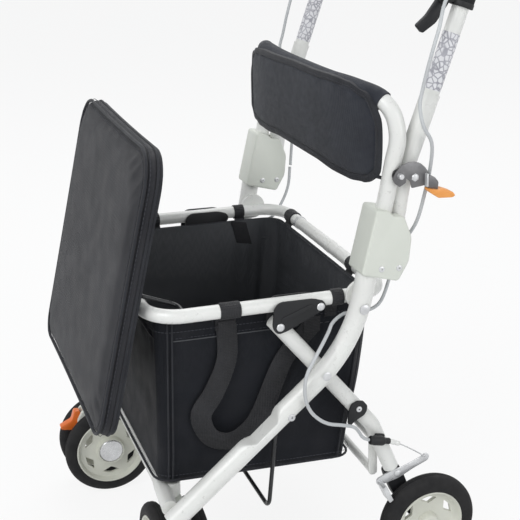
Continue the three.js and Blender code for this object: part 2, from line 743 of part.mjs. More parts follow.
// Wheel brackets with the rear axle stubs and the pins of the brake arms
function wheelBracket() {
  const axle = [REAR_WHEEL.y, REAR_WHEEL.z];
  const pinEnd = BRAKE_ARM.plate[1] + GAP;
  const pin = bolt(BRAKE_PIVOT, [[BRACKET.outer - WELD, pinEnd, BRAKE_ARM.pin],
    [pinEnd, pinEnd + BOLT.rivetDepth, BOLT.rivetHead]]);
  return united(plate(roundedOutline(BRACKET.outline, BRACKET.round), [BRACKET.inner, BRACKET.outer]),
    rod(BRACKET.inner + WELD, REAR_WHEEL.outer - WELD, axle, REAR_WHEEL.axle), pin);
}
addSides('wheel_bracket', wheelBracket(), BLACK);

function cableAdjuster() {
  const [start, end, nose] = [ADJUSTER.start, ADJUSTER.end, ADJUSTER.nose]
    .map((place) => sideways(ADJUSTER.x, place));
  return united(sweep([start, end], ADJUSTER.radius, HOLE_SIDES),
    sweep([start.clone().lerp(end, 0.5), nose], ADJUSTER.noseRadius, HOLE_SIDES),
    plate(ADJUSTER_TAB.outline, ADJUSTER_TAB.plate));
}
addSides('cable_adjuster', cableAdjuster(), BLACK);

// Brake arms: a rocking plate that presses a shoe on the tread
function brakeArm() {
  const arm = plate(roundedOutline(BRAKE_ARM.outline, BRAKE_ARM.round), BRAKE_ARM.plate);
  return cut(united(arm, plate(BRAKE_ARM.shoe, BRAKE_ARM.shoePlate)),
    rod(BRACKET.inner, REAR_WHEEL.outer, BRAKE_PIVOT, BRAKE_ARM.pin + RUNNING_GAP));
}
addSides('brake_arm', brakeArm(), STEEL);

// Wheels: a tyre turned from its section, and a rim with windows cut between its spokes
function tyre(at, radius, rim, inner, outer, sides) {
  const profile = TYRE_SHARES.map(([outShare, widthShare]) => [
    rim + GAP + (radius - rim - GAP) * outShare, inner + (outer - inner) * widthShare]);
  return turned([...profile, profile[0]], at, sides);
}

function rimSolid(at, rim, inner, outer, sizes) {
  const { axle, hub, cap, web, lip, boreEnd, sides } = sizes;
  const bore = axle + RUNNING_GAP;
  const middle = (inner + outer) / 2;
  const profile = [[0, outer + cap], [hub - lip, outer + cap], [hub, middle + web],
    [rim - 2 * lip, middle + web], [rim, outer - 2 * lip], [rim, inner + 2 * lip],
    [rim - 2 * lip, middle - web], [hub, middle - web],
    [hub, inner + GAP], [bore, inner + GAP], [bore, boreEnd], [0, boreEnd]];
  return turned(profile, at, sides);
}

function windows(at, fromRadius, toRadius, inner, outer, narrowShare) {
  return Array.from({ length: SPOKES }, (_, spoke) => {
    const place = (radius, share) => {
      const angle = 2 * Math.PI * (spoke + share) / SPOKES;
      return [at[0] + radius * Math.cos(angle), at[1] + radius * Math.sin(angle)];
    };
    const wide = [place(toRadius, narrowShare), place(toRadius, 1 - narrowShare)];
    return plate([place(fromRadius, 0.5), ...wide], [inner, outer]);
  });
}

const rearAxle = [REAR_WHEEL.y, REAR_WHEEL.z];
const REAR_RIM = {
  axle: REAR_WHEEL.axle,
  hub: 15,
  cap: 1.5,
  web: 3,
  lip: 3,
  boreEnd: REAR_WHEEL.outer - 2 * GAP,
  sides: REAR_WHEEL_SIDES,
};
addSides('rear_tyre', tyre(rearAxle, REAR_WHEEL.radius, REAR_WHEEL.rim, REAR_WHEEL.inner, REAR_WHEEL.outer,
  REAR_WHEEL_SIDES), BLACK);
addSides('rear_rim', cut(
  rimSolid(rearAxle, REAR_WHEEL.rim, REAR_WHEEL.inner, REAR_WHEEL.outer, REAR_RIM),
  ...windows(rearAxle, ...REAR_WHEEL.windows, REAR_WHEEL.inner, REAR_WHEEL.outer, REAR_SPOKE_SHARE),
), CREAM);

// Casters: a fork on a stem, with a wheel on each side of it and a lock lever in front
function casterFork() {
  const stem = sweep([CASTER.outline[1][1] - CASTER_HEAD.stemSunk, CASTER_HEAD.stemTop]
    .map((z) => new THREE.Vector3(CASTER_HEAD.x, CASTER_HEAD.y, z)), CASTER_HEAD.stemRadius, TUBE_SIDES);
  const body = cut(plate(roundedOutline(CASTER.outline, CASTER.round), [CASTER.forkInner, CASTER.forkOuter]),
    plate(CASTER.lockWindowOutline, CASTER.lockWindow));
  return united(body, stem, rod(CASTER.axleFrom, CASTER.axleTo, CASTER.axle, CASTER.axleRadius),
    rod(CASTER.lockWindow[0] - WELD, CASTER.lockWindow[1] + WELD, CASTER_LOCK.pivot, CASTER_LOCK.pin));
}

// The left caster stands a quarter turn round its stem, the right one straight
function addCasters(name, geometry, colour) {
  const turnedOut = geometry.clone().translate(-CASTER_HEAD.x, -CASTER_HEAD.y, 0).rotateZ(CASTER_TURN);
  add(`${name}_left`, turnedOut.translate(CASTER_HEAD.x, CASTER_HEAD.y, 0), colour);
  add(`${name}_right`, mirrored(geometry), colour);
}
addCasters('caster_fork', casterFork(), CREAM);
addCasters('caster_lock', plate(roundedOutline(CASTER_LOCK.outline, CASTER_LOCK.round), CASTER_LOCK.plate,
  [{ at: CASTER_LOCK.pivot, radius: CASTER_LOCK.pin + RUNNING_GAP }]), ORANGE);

const CASTER_RIM = {
  axle: CASTER.axleRadius,
  hub: 19,
  cap: 1.2,
  web: 2.4,
  lip: 2.2,
  sides: CASTER_WHEEL_SIDES,
};
function casterWheel(place, from, facing) {
  const to = from + CASTER.tyreWidth;
  const turnOver = (geometry) => (facing > 0
    ? geometry
    : geometry.translate(-from - to, 0, 0).applyMatrix4(new THREE.Matrix4().makeScale(-1, 1, 1)));
  const boreEnd = to - CASTER.boreShort;
  const rim = cut(rimSolid(CASTER.axle, CASTER.rim, from, to, { ...CASTER_RIM, boreEnd }),
    ...windows(CASTER.axle, ...CASTER.windows, from - WELD, to + WELD, CASTER_SPOKE_SHARE));
  const band = tyre(CASTER.axle, CASTER.wheelRadius, CASTER.rim, from, to, CASTER_WHEEL_SIDES);
  addCasters(`caster_tyre_${place}`, band, BLACK);
  addCasters(`caster_rim_${place}`, closed(turnOver(rim)), CREAM);
}
casterWheel('outer', CASTER.outerWheel, 1);
casterWheel('inner', CASTER.innerWheel, -1);

// Seat frame: a loop of tube with a small seam at the rear, and a welded pivot lug each side
const pinRoom = LINK.pin + RUNNING_GAP;
function seatTube() {
  const loop = [[SEAT.seamX + SEAT.seam, SEAT.back], [SEAT.x, SEAT.back], [SEAT.x, SEAT.front],
    [-SEAT.x, SEAT.front], [-SEAT.x, SEAT.back], [SEAT.seamX, SEAT.back]];
  const stations = bent(loop.map(([x, y]) => new THREE.Vector3(x, y, SEAT.z)), SEAT.corner, 3);
  const reach = 2 * SEAT.radius;
  const holes = [1, -1].flatMap((side) => [
    rod(side * (SEAT.x - reach), side * (SEAT.x + reach), LINK.top, pinRoom),
    rod(side * (SEAT.x - reach), side * (LID_ARM.endX + GAP), LID_ARM.pivot, LID_ARM.bore)]);
  const round = circle(LUG.radius, 2 * HOLE_SIDES, LUG.centre).map(({ x, y }) => [x, y]);
  const lug = plate(round, LUG.plate);
  const pivotHoles = [1, -1].map((side) => rod(side * (SEAT.x - reach), side * (SEAT.x + reach), SEAT_PIVOT,
    BOLT.radius + RUNNING_GAP));
  const drilled = cut(sweep(stations, SEAT.radius, TUBE_SIDES), ...holes);
  return united(drilled, cut(lug, pivotHoles[0]), cut(mirrored(lug), pivotHoles[1]));
}
add('seat_tube', seatTube(), WHITE);

// Fold links: two plates each side, with the pin that goes through the seat tube
function foldLink() {
  const outline = roundedOutline(LINK.outline, LINK.round);
  const face = LINK.outerPlate[1];
  const rivet = (at) => bolt(at, [[face - WELD, face + BOLT.rivetDepth, BOLT.rivetHead]]);
  return united(plate(outline, LINK.outerPlate), plate(outline, LINK.innerPlate),
    rod(LINK.innerPlate[0] + WELD, face - WELD, LINK.top, LINK.pin), rivet(LINK.top), rivet(LINK.foot));
}
addSides('fold_link', foldLink(), BLACK);

// Bag: an open shell of cloth that hangs from the seat frame, with a webbing handle on each side
function bagRing(row, inset, z = SEAT_Z - BAG.down[row]) {
  const halfX = SEAT_X - BAG.side[row] - inset;
  const [low, high] = [SEAT_FRONT + BAG.front[row] + inset, SEAT_BACK - BAG.back[row] - inset];
  const corners = [[halfX, low], [halfX, high], [-halfX, high], [-halfX, low]]
    .map(([across, y]) => new THREE.Vector3(across, y, z));
  return roundedLoop(corners, BAG.corner - inset, CORNER_STEPS);
}

function bag() {
  const outside = BAG.down.map((_, row) => bagRing(row, 0));
  const floor = bagRing(1, BAG.wall, SEAT_Z - BAG.down[0] + BAG.wall);
  const inside = outside.slice(2).map((_, row) => bagRing(row + 2, BAG.wall));
  return loft([...outside, ...inside.reverse(), floor]);
}

function bagHandle() {
  const middle = smooth(BAG_HANDLE.route.map(([y, z]) => [y, z, 0]), BAG_HANDLE.spacing);
  const route = new Route(middle);
  const last = middle.length - 1;
  const edge = (side) => middle.map((place, index) => {
    const heading = route.getTangentAt(index / last);
    const reach = side * BAG_HANDLE.width / 2;
    return [place.x - heading.y * reach, place.y + heading.x * reach];
  });
  return plate([...edge(1), ...edge(-1).reverse()], [SEAT_X - BAG_HANDLE.inner, SEAT_X - BAG_HANDLE.outer]);
}

// Loops of webbing that go round the seat tube and are sewn to the top of the bag by a tab
function bagLoop(from, to) {
  const reach = to.clone().sub(from).normalize();
  const ring = cut(sweep([from, to], BAG_LOOP.radius, TUBE_SIDES),
    sweep([from.clone().sub(reach), to.clone().add(reach)], BAG_LOOP.bore, TUBE_SIDES));
  const [run, rise] = [BAG_LOOP.tabIn, BAG_LOOP.tabDown].map(([start, end]) => start - end);
  const tab = new THREE.BoxGeometry(Math.hypot(run, rise), from.distanceTo(to), BAG_LOOP.tabDepth);
  tab.rotateY(-Math.atan2(rise, run));
  const alongX = Math.abs(reach.x) > 0;
  const [inward, down] = [BAG_LOOP.tabIn, BAG_LOOP.tabDown].map(([start, end]) => (start + end) / 2);
  const middle = from.clone().add(to).divideScalar(2);
  if (alongX) tab.rotateZ(Math.PI / 2).translate(middle.x, SEAT.back - inward, SEAT.z - down);
  else tab.translate(SEAT.x - inward, middle.y, SEAT.z - down);
  return united(ring, closed(tab));
}

function wholeBag() {
  const along = (places, toPlace) => places.map((ends) => bagLoop(...ends.map(toPlace)));
  const sides = along(BAG_LOOP.sides, (y) => new THREE.Vector3(SEAT.x, y, SEAT.z));
  const behind = along(BAG_LOOP.back, (x) => new THREE.Vector3(x, SEAT.back, SEAT.z));
  const handle = bagHandle();
  return united(bag(), handle, mirrored(handle), ...sides, ...sides.map(mirrored), ...behind);
}
add('bag', wholeBag(), BLACK);

// Lid: a stiff board with two clips round the wire arm, and the padded cushion on it
const lean = THREE.MathUtils.degToRad(LID.lean);
const lidPlace = (x, s, q) => new THREE.Vector3(x,
  LID.hinge[0] + s * Math.sin(lean) - q * Math.cos(lean),
  LID.hinge[1] + s * Math.cos(lean) + q * Math.sin(lean));

function lidRing(inset, q) {
  const half = LID.halfWidth - inset;
  const [low, high] = [LID.low + inset, LID.high - inset];
  const middle = (low + high) / 2;
  const corners = [[half, low], [half - LID.pinch, middle], [half, high], [0, high - LID.pinch],
    [-half, high], [-half + LID.pinch, middle], [-half, low], [0, low + LID.pinch]];
  const rounds = corners.map(([x, s]) => {
    if (Math.abs(x) < half || s === middle) return LID.halfWidth;
    return Math.max((s === low ? LID.cornerLow : LID.cornerHigh) - inset, LID.cornerHigh / 3);
  });
  return roundedLoop(corners.map(([x, s]) => new THREE.Vector3(x, s, 0)), rounds, CORNER_STEPS + 1)
    .map((place) => lidPlace(place.x, place.y, q));
}

function lidBoard() {
  const layers = [LID.boardFrom, (LID.boardFrom + LID.boardTo) / 2, LID.boardTo];
  const board = loft(layers.map((q, layer) => lidRing(LID.boardInsets[layer], q)));
  const clip = (side) => {
    const [from, to] = [-1, 1].map((end) => side * LID.clipX + end * LID.clipHalf);
    return rod(from, to, LID.hinge, LID.clipRadius);
  };
  const bore = rod(-LID.halfWidth, LID.halfWidth, LID.hinge, LID_ARM.bore);
  return cut(united(board, clip(1), clip(-1)), bore);
}
add('lid_board', lidBoard(), BLACK);
add('lid_cushion', loft(CUSHION.q.map((q, layer) => lidRing(CUSHION.inset[layer], q))), SOFT_BLACK);

function lidArm() {
  const half = [
    sideways(LID_ARM.endX, LID_ARM.pivot),
    sideways(LID_ARM.x, LID_ARM.pivot),
    sideways(LID_ARM.x, LID.hinge),
  ];
  const other = half.slice().reverse().map(({ x, y, z }) => new THREE.Vector3(-x, y, z));
  return sweep(bent([...half, ...other], LID_ARM.bend, CORNER_STEPS), LID_ARM.radius, WIRE_SIDES);
}
add('lid_arm_wire', lidArm(), BLACK);

// Handle: lower tubes that fold at the housing, upper tubes that slide in them, and the grip loop
const handlePlace = (place) => sideways(HANDLE.x, place);
const handleTop = handlePlace(HANDLE.top);
const handleRise = handleTop.clone().sub(handlePlace(HANDLE.knee)).normalize();
const alongHandle = (distance) => handleTop.clone().addScaledVector(handleRise, distance);
function handleLower() {
  const stations = bent([HANDLE.foot, HANDLE.knee, HANDLE.top].map(handlePlace), HANDLE.kneeBend, 4);
  const boreEnds = [alongHandle(-HANDLE.boreDepth), alongHandle(HANDLE.radius)];
  const bore = sweep(boreEnds, HANDLE.bore, TUBE_SIDES + 2);
  return cut(sweep(stations, HANDLE.radius, TUBE_SIDES + 2), bore,
    rod(HANDLE.x - 2 * HANDLE.radius, HANDLE.x + 2 * HANDLE.radius, HANDLE_PIVOT, HANDLE.pinHole));
}
addSides('handle_lower', handleLower(), WHITE);
const upperEnds = [alongHandle(-HANDLE.inserted), alongHandle(HANDLE.shown)];
addSides('handle_upper', sweep(upperEnds, HANDLE.upperRadius, TUBE_SIDES + 2), WHITE);

function grip() {
  const half = [...GRIP.straight.map((distance) => alongHandle(distance).toArray()),
    ...GRIP.bend.map(([y, z], index) => [HANDLE.x * GRIP.acrossShares[index], y, z])];
  const loop = sweep(smooth(acrossBoth(half), GRIP.spacing), GRIP.radius, TUBE_SIDES - 2);
  const cheeks = [LEVER.cheekOuter, LEVER.cheekInner].map((sides) => plate(LEVER.cheekOutline, sides));
  const pin = rod(LEVER.cheekInner[1] - WELD, LEVER.cheekOuter[0] + WELD, LEVER.pivot, LEVER.pin);
  return united(loop, ...cheeks, pin, ...cheeks.map(mirrored), mirrored(pin));
}
add('handle_grip', grip(), BLACK);
addSides('hand_lever', plate(roundedOutline(LEVER.outline, LEVER.round), LEVER.blade,
  [{ at: LEVER.pivot, radius: LEVER.pin + RUNNING_GAP }]), BLACK);

// Latches: a hooked plate on the handle that catches the post on the backrest tube
function latchPlate() {
  const handleSide = HANDLE.x + HANDLE.radius + GAP;
  const face = LATCH.plate[1];
  const head = [face, face + BOLT.rivetDepth, BOLT.rivetHead];
  const pin = bolt(LATCH.pivot, [[handleSide, face, LATCH.pin], head]);
  return united(plate(roundedOutline(LATCH.outline, LATCH.round), LATCH.plate), pin);
}
addSides('latch_plate', latchPlate(), STEEL);
const latchRooms = [-GAP, GAP].map((drop) => plate(LATCH.outline.map(([y, z]) => [y, z - drop]),
  [LATCH.plate[0] - GAP, LATCH.plate[1] + GAP]));
addSides('latch_tab', cut(plate(LATCH.tabOutline, LATCH.tabPlate), ...latchRooms), ORANGE);

trolley.position.y = SHIFT_Y;
trolley.updateMatrixWorld(true);
export default trolley;
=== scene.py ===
import math

import bmesh
import bpy
from mathutils import Matrix, Vector


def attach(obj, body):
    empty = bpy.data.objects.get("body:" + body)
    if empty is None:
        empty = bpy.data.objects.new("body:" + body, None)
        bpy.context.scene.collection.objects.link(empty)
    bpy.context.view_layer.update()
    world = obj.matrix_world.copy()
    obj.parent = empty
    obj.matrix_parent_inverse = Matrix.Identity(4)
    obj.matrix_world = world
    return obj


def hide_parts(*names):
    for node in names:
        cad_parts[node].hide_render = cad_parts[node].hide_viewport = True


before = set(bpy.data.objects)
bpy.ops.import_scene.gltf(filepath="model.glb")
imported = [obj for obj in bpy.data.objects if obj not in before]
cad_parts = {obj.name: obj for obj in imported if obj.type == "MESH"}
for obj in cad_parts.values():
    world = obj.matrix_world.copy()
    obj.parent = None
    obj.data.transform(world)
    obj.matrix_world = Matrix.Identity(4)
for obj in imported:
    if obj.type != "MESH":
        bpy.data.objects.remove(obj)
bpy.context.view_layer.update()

# View, lamps and floor
# The trolley is seen from its left, a little from the front, with the eye just above the handle's fold.
# A pale floor, three soft lamps and an even sky light it at a plain level.
EYE = (1.5132, -0.5299, 0.9741)
DOWN_TILT = 19.154
LOOK_TURN = 70.725
LAMPS = [((1.7, -2.4, 2.7), 64, 2.2), ((2.6, 1.5, 1.5), 22, 1.8), ((-1.6, 0.6, 2.9), 34, 2.2)]
LIT_POINT = Vector((0, 0, 0.4))
LENS = 79.19
SKY_STRENGTH = 0.42
FLOOR_SIZE = 60
FLOOR_SHARE = 0.87

bpy.ops.object.select_all(action="DESELECT")
bpy.ops.object.camera_add(location=EYE, rotation=(math.radians(90 - DOWN_TILT), 0, math.radians(LOOK_TURN)))
bpy.context.object.data.lens = LENS
bpy.context.scene.camera = bpy.context.object
for spot, power, width in LAMPS:
    heading = (LIT_POINT - Vector(spot)).to_track_quat("-Z", "Y").to_euler()
    bpy.ops.object.light_add(type="AREA", location=spot, rotation=heading)
    bpy.context.object.data.energy = power
    bpy.context.object.data.size = width
bpy.context.scene.view_settings.view_transform = "Standard"


def seen_directly(nodes, links):
    """1 where the eye, a reflection or a clear material looks straight at the backdrop."""
    light = nodes.new("ShaderNodeLightPath")
    either = nodes.new("ShaderNodeMath")
    either.operation = "MAXIMUM"
    links.new(light.outputs["Is Camera Ray"], either.inputs[0])
    links.new(light.outputs["Is Glossy Ray"], either.inputs[1])
    third = nodes.new("ShaderNodeMath")
    third.operation = "MAXIMUM"
    links.new(either.outputs[0], third.inputs[0])
    links.new(light.outputs["Is Transmission Ray"], third.inputs[1])
    return third.outputs[0]


sky = bpy.data.worlds.new("sky")
bpy.context.scene.world = sky
sky.use_nodes = True
sky_nodes, sky_links = sky.node_tree.nodes, sky.node_tree.links
soft_light = sky_nodes["Background"]
soft_light.inputs["Color"].default_value = (0.93, 0.96, 1.0, 1)
soft_light.inputs["Strength"].default_value = SKY_STRENGTH
backdrop = sky_nodes.new("ShaderNodeBackground")
backdrop.inputs["Color"].default_value = (1, 1, 1, 1)
sky_mix = sky_nodes.new("ShaderNodeMixShader")
sky_links.new(seen_directly(sky_nodes, sky_links), sky_mix.inputs[0])
sky_links.new(soft_light.outputs[0], sky_mix.inputs[1])
sky_links.new(backdrop.outputs[0], sky_mix.inputs[2])
sky_links.new(sky_mix.outputs[0], sky_nodes["World Output"].inputs[0])

bpy.ops.mesh.primitive_plane_add(size=FLOOR_SIZE)
floor = bpy.context.object
floor.name = "floor"
floor_finish = bpy.data.materials.new("pale_floor")
floor_finish.use_nodes = True
floor_nodes, floor_links = floor_finish.node_tree.nodes, floor_finish.node_tree.links
floor_nodes["Principled BSDF"].inputs["Base Color"].default_value = (0.9, 0.9, 0.9, 1)
floor_nodes["Principled BSDF"].inputs["Roughness"].default_value = 0.9
glow = floor_nodes.new("ShaderNodeEmission")
glow.inputs["Color"].default_value = (1, 1, 1, 1)
glow.inputs["Strength"].default_value = 1.0
floor_share = floor_nodes.new("ShaderNodeMath")
floor_share.operation = "MULTIPLY"
floor_share.inputs[1].default_value = FLOOR_SHARE
floor_links.new(seen_directly(floor_nodes, floor_links), floor_share.inputs[0])
floor_mix = floor_nodes.new("ShaderNodeMixShader")
floor_links.new(floor_share.outputs[0], floor_mix.inputs[0])
floor_links.new(floor_nodes["Principled BSDF"].outputs[0], floor_mix.inputs[1])
floor_links.new(glow.outputs[0], floor_mix.inputs[2])
floor_links.new(floor_mix.outputs[0], floor_nodes["Material Output"].inputs[0])
floor.data.materials.append(floor_finish)

# Main tubes
# Two long bent steel tubes, powder coated white, run from the hinge housings down to the front cross tube.
# Each is dented on its upper side for a hand's length below the scissor bolt, where the folded rear leg lies.
MM = 0.001
DRAWING_SHIFT = -54.4
MAIN_X = 235
MAIN_RADIUS, MAIN_BEND = 14, 200
MAIN_LINE = [(124, 500), (102, 370), (-152, 150.5)]
DENT_FROM, DENT_TO = (10, 293), (-54, 236)
DENT_DEPTH = 12.5 * MM
DENT_RINGS = 22


def at(x, y, z):
    """A place on the drawing, in millimetres, as a place in the frame."""
    return Vector((x, y + DRAWING_SHIFT, z)) * MM


def mesh_tool(piece, kind="VERT"):
    """Opens a piece for editing with all of it selected."""
    bpy.context.view_layer.objects.active = piece
    bpy.ops.object.mode_set(mode="EDIT")
    bpy.ops.mesh.select_mode(type=kind)
    bpy.ops.mesh.select_all(action="SELECT")


def pick(piece):
    """Selects one piece alone and makes it the active one."""
    bpy.ops.object.select_all(action="DESELECT")
    piece.select_set(True)
    bpy.context.view_layer.objects.active = piece


def close_mesh(piece, crease=38):
    """Merges doubles, turns faces outwards and shades the round parts smooth."""
    if bpy.context.mode != "EDIT_MESH":
        mesh_tool(piece)
    bpy.ops.mesh.select_all(action="SELECT")
    bpy.ops.mesh.remove_doubles(threshold=0.00001)
    bpy.ops.mesh.normals_make_consistent(inside=False)
    bpy.ops.object.mode_set(mode="OBJECT")
    bpy.ops.object.select_all(action="DESELECT")
    piece.select_set(True)
    bpy.ops.object.shade_smooth_by_angle(angle=math.radians(crease))
    return piece


def named(name):
    """Names the new primitive and puts its place in its mesh."""
    piece = bpy.context.object
    piece.name = name
    bpy.ops.object.transform_apply(location=True, rotation=True, scale=True)
    return piece


def bent_tube(name, corners, radius, bends, sides=40, steps=10):
    """A tube drawn out straight and spun round each bend."""
    heading = (corners[1] - corners[0]).normalized()
    bpy.ops.object.select_all(action="DESELECT")
    bpy.ops.mesh.primitive_circle_add(vertices=sides, radius=radius * MM, fill_type="NGON",
                                      location=corners[0],
                                      rotation=heading.to_track_quat("Z", "Y").to_euler())
    piece = named(name)
    mesh_tool(piece, "FACE")
    here = corners[0]
    for before, corner, after, bend in zip(corners, corners[1:-1], corners[2:], bends):
        run_in, run_out = (corner - before).normalized(), (after - corner).normalized()
        turn = run_in.angle(run_out)
        reach = bend * MM * math.tan(turn / 2)
        start = corner - run_in * reach
        bpy.ops.mesh.extrude_region_move(TRANSFORM_OT_translate={"value": start - here})
        axis = run_in.cross(run_out).normalized()
        bpy.ops.mesh.spin(steps=steps, angle=-turn, center=start + axis.cross(run_in) * bend * MM,
                          axis=axis)
        here = corner + run_out * reach
    bpy.ops.mesh.extrude_region_move(TRANSFORM_OT_translate={"value": corners[-1] - here})
    return close_mesh(piece)


def twin(piece):
    """The right-hand copy of a left-hand piece, with its own mesh."""
    pick(piece)
    bpy.ops.object.duplicate()
    other = bpy.context.object
    other.name = piece.name.replace("left", "right")
    mesh_tool(other)
    bpy.ops.transform.resize(value=(-1, 1, 1), center_override=(0, 0, 0))
    return close_mesh(other)


def surface(name, colour, second, roughness, grain=900, depth=0.03, patch=9, metallic=0, coat=0, weave=0,
            sheen=0, scuff=0, gloss=0.5):
    """A finish in two shades with uneven gloss and a fine grain, and a weave or scuffs where asked."""
    finish = bpy.data.materials.new(name)
    finish.use_nodes = True
    nodes, links = finish.node_tree.nodes, finish.node_tree.links
    shader = nodes["Principled BSDF"]
    shader.inputs["Metallic"].default_value = metallic
    shader.inputs["Coat Weight"].default_value = coat
    shader.inputs["Sheen Weight"].default_value = sheen
    shader.inputs["Specular IOR Level"].default_value = gloss
    place = nodes.new("ShaderNodeTexCoord").outputs["Object"]

    def cloud(scale, detail=3):
        noise = nodes.new("ShaderNodeTexNoise")
        noise.inputs["Scale"].default_value = scale
        noise.inputs["Detail"].default_value = detail
        links.new(place, noise.inputs["Vector"])
        return noise.outputs["Fac"]

    def spread(value, start, end, low, high):
        stretch = nodes.new("ShaderNodeMapRange")
        for slot, number in zip(range(1, 5), (start, end, low, high)):
            stretch.inputs[slot].default_value = number
        links.new(value, stretch.inputs[0])
        return stretch.outputs[0]

    def tint(share, under, over):
        mix = nodes.new("ShaderNodeMix")
        mix.data_type = "RGBA"
        links.new(share, mix.inputs[0])
        for slot, shade in ((6, under), (7, over)):
            if isinstance(shade, tuple):
                mix.inputs[slot].default_value = (*shade, 1)
            else:
                links.new(shade, mix.inputs[slot])
        return mix.outputs[2]

    def joined(first, other, kind="ADD"):
        sum_up = nodes.new("ShaderNodeMath")
        sum_up.operation = kind
        links.new(first, sum_up.inputs[0])
        links.new(other, sum_up.inputs[1])
        return sum_up.outputs[0]

    tone = tint(spread(cloud(patch), 0.36, 0.66, 0, 1), colour, second)
    height = cloud(grain, 2)
    if weave:
        for way in "XYZ":
            threads = nodes.new("ShaderNodeTexWave")
            threads.bands_direction = way
            threads.inputs["Scale"].default_value = 0.314 / (weave * MM)
            threads.inputs["Distortion"].default_value = 0.6
            links.new(place, threads.inputs["Vector"])
            height = joined(height, threads.outputs["Fac"])
        # Painted shade: the hollows of the weave are also painted darker in the colour, on top of their bump.
        tone = tint(spread(height, 0.6, 3.2, 0.42, 0), tone, tuple(part * 0.45 for part in colour))
    if scuff:
        marks = joined(cloud(70, 6), cloud(310, 2), "MULTIPLY")
        tone = tint(spread(marks, 0.37, 0.45, 0, scuff), tone, (0.42, 0.41, 0.39))
    links.new(tone, shader.inputs["Base Color"])
    links.new(spread(cloud(patch * 4), 0.3, 0.7, max(roughness - 0.07, 0.04), min(roughness + 0.1, 1)),
              shader.inputs["Roughness"])
    bump = nodes.new("ShaderNodeBump")
    bump.inputs["Distance"].default_value = depth * MM
    links.new(height, bump.inputs["Height"])
    links.new(bump.outputs[0], shader.inputs["Normal"])
    return finish


def fit(piece, finish, slot, body, *nodes):
    """Gives a piece its finish, the body that it rides on and the nodes that it stands for; slot is not used.
    """
    piece.data.materials.clear()
    piece.data.materials.append(finish)
    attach(piece, body)
    if nodes:
        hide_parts(*nodes)
    return piece


def fit_pair(piece, finish, slot, body, *nodes):
    """The same for a left-hand piece and its right-hand twin."""
    for one, side in ((twin(piece), "right"), (piece, "left")):
        fit(one, finish, slot, body.replace("left", side), *[node.replace("left", side) for node in nodes])


white_coat = surface("white_powder_coat", (0.82, 0.825, 0.8), (0.76, 0.765, 0.735), 0.3, grain=650,
                     depth=0.035, coat=0.25, scuff=0.35)
main_tube = bent_tube("main_tube_left", [at(MAIN_X, y, z) for y, z in MAIN_LINE], MAIN_RADIUS, [MAIN_BEND])
dent_start, dent_end = (at(MAIN_X, *place) for place in (DENT_FROM, DENT_TO))
dent_run = dent_end - dent_start
dent_up = Vector((0, dent_run.z, -dent_run.y)).normalized()
mesh_tool(main_tube)
for ring in range(DENT_RINGS + 1):
    bpy.ops.mesh.select_all(action="SELECT")
    bpy.ops.mesh.bisect(plane_co=dent_start + dent_run * ring / DENT_RINGS, plane_no=dent_run)
bpy.ops.object.mode_set(mode="OBJECT")
for corner in main_tube.data.vertices:
    along = (corner.co - dent_start).dot(dent_run) / dent_run.length_squared
    rise = (corner.co - dent_start).dot(dent_up)
    if 0 < along < 1:
        press = DENT_DEPTH * min(1, math.sin(math.pi * along) * 1.35) ** 2
        limit = MAIN_RADIUS * MM - press
        corner.co -= dent_up * max(0, rise - limit) * 0.97
close_mesh(main_tube)
fit_pair(main_tube, white_coat, "white_paint", "frame", "front_leg_left")

# Front cross tube
# A white tube welded between the feet of the main tubes, bent forwards at each end.
# Two upright sleeves are welded through it and take the stems of the casters.
CROSS_Z = 163
CROSS_HALF = [(219.8, -150), (162, -146), (140, -143)]
SLEEVE = (162, -134, 150, 172)
SLEEVE_RADIUS = 14
CROSS_RADIUS, CROSS_BEND = 11, 60


def both_sides(half):
    """Corners set out on the left, and then the same carried over to the right."""
    return half + [Vector((-place.x, place.y, place.z)) for place in half[::-1]]


def pick_faces(piece, wanted):
    """Opens a piece for editing with only the wanted faces selected."""
    mesh_tool(piece, "FACE")
    bpy.ops.mesh.select_all(action="DESELECT")
    bpy.ops.object.mode_set(mode="OBJECT")
    for face in piece.data.polygons:
        face.select = wanted(face)
    bpy.ops.object.mode_set(mode="EDIT")


cross_line = both_sides([at(x, y, CROSS_Z) for x, y in CROSS_HALF])
cross_tube = bent_tube("front_cross_bar", cross_line, CROSS_RADIUS, [CROSS_BEND] * 4)
fit(cross_tube, white_coat, "white_paint", "frame", "front_cross_tube")
sleeve_x, sleeve_y, sleeve_low, sleeve_high = SLEEVE
sleeve_ends = [at(sleeve_x, sleeve_y, z) for z in (sleeve_low, sleeve_high)]
caster_sleeve = bent_tube("caster_sleeve_left", sleeve_ends, SLEEVE_RADIUS, [])
pick_faces(caster_sleeve, lambda face: abs(face.normal.z) > 0.9)
bpy.ops.mesh.bevel(offset=2.2 * MM, segments=3, affect="EDGES")
close_mesh(caster_sleeve)
fit_pair(caster_sleeve, white_coat, "white_paint", "frame")

# Backrest tube
# One white powder-coated steel tube is bent into a U behind the seat.
# Its ends are held in the hinge housings.
BACKREST_RADIUS = 11.1
BACKREST_HALF = [(235, 127, 503), (235, 140, 556), (235, 150.5, 615), (235, 155.5, 645), (228, 151.5, 675),
                 (215, 141, 691.5), (170, 124, 700), (100, 119, 699), (0, 118, 698.5)]


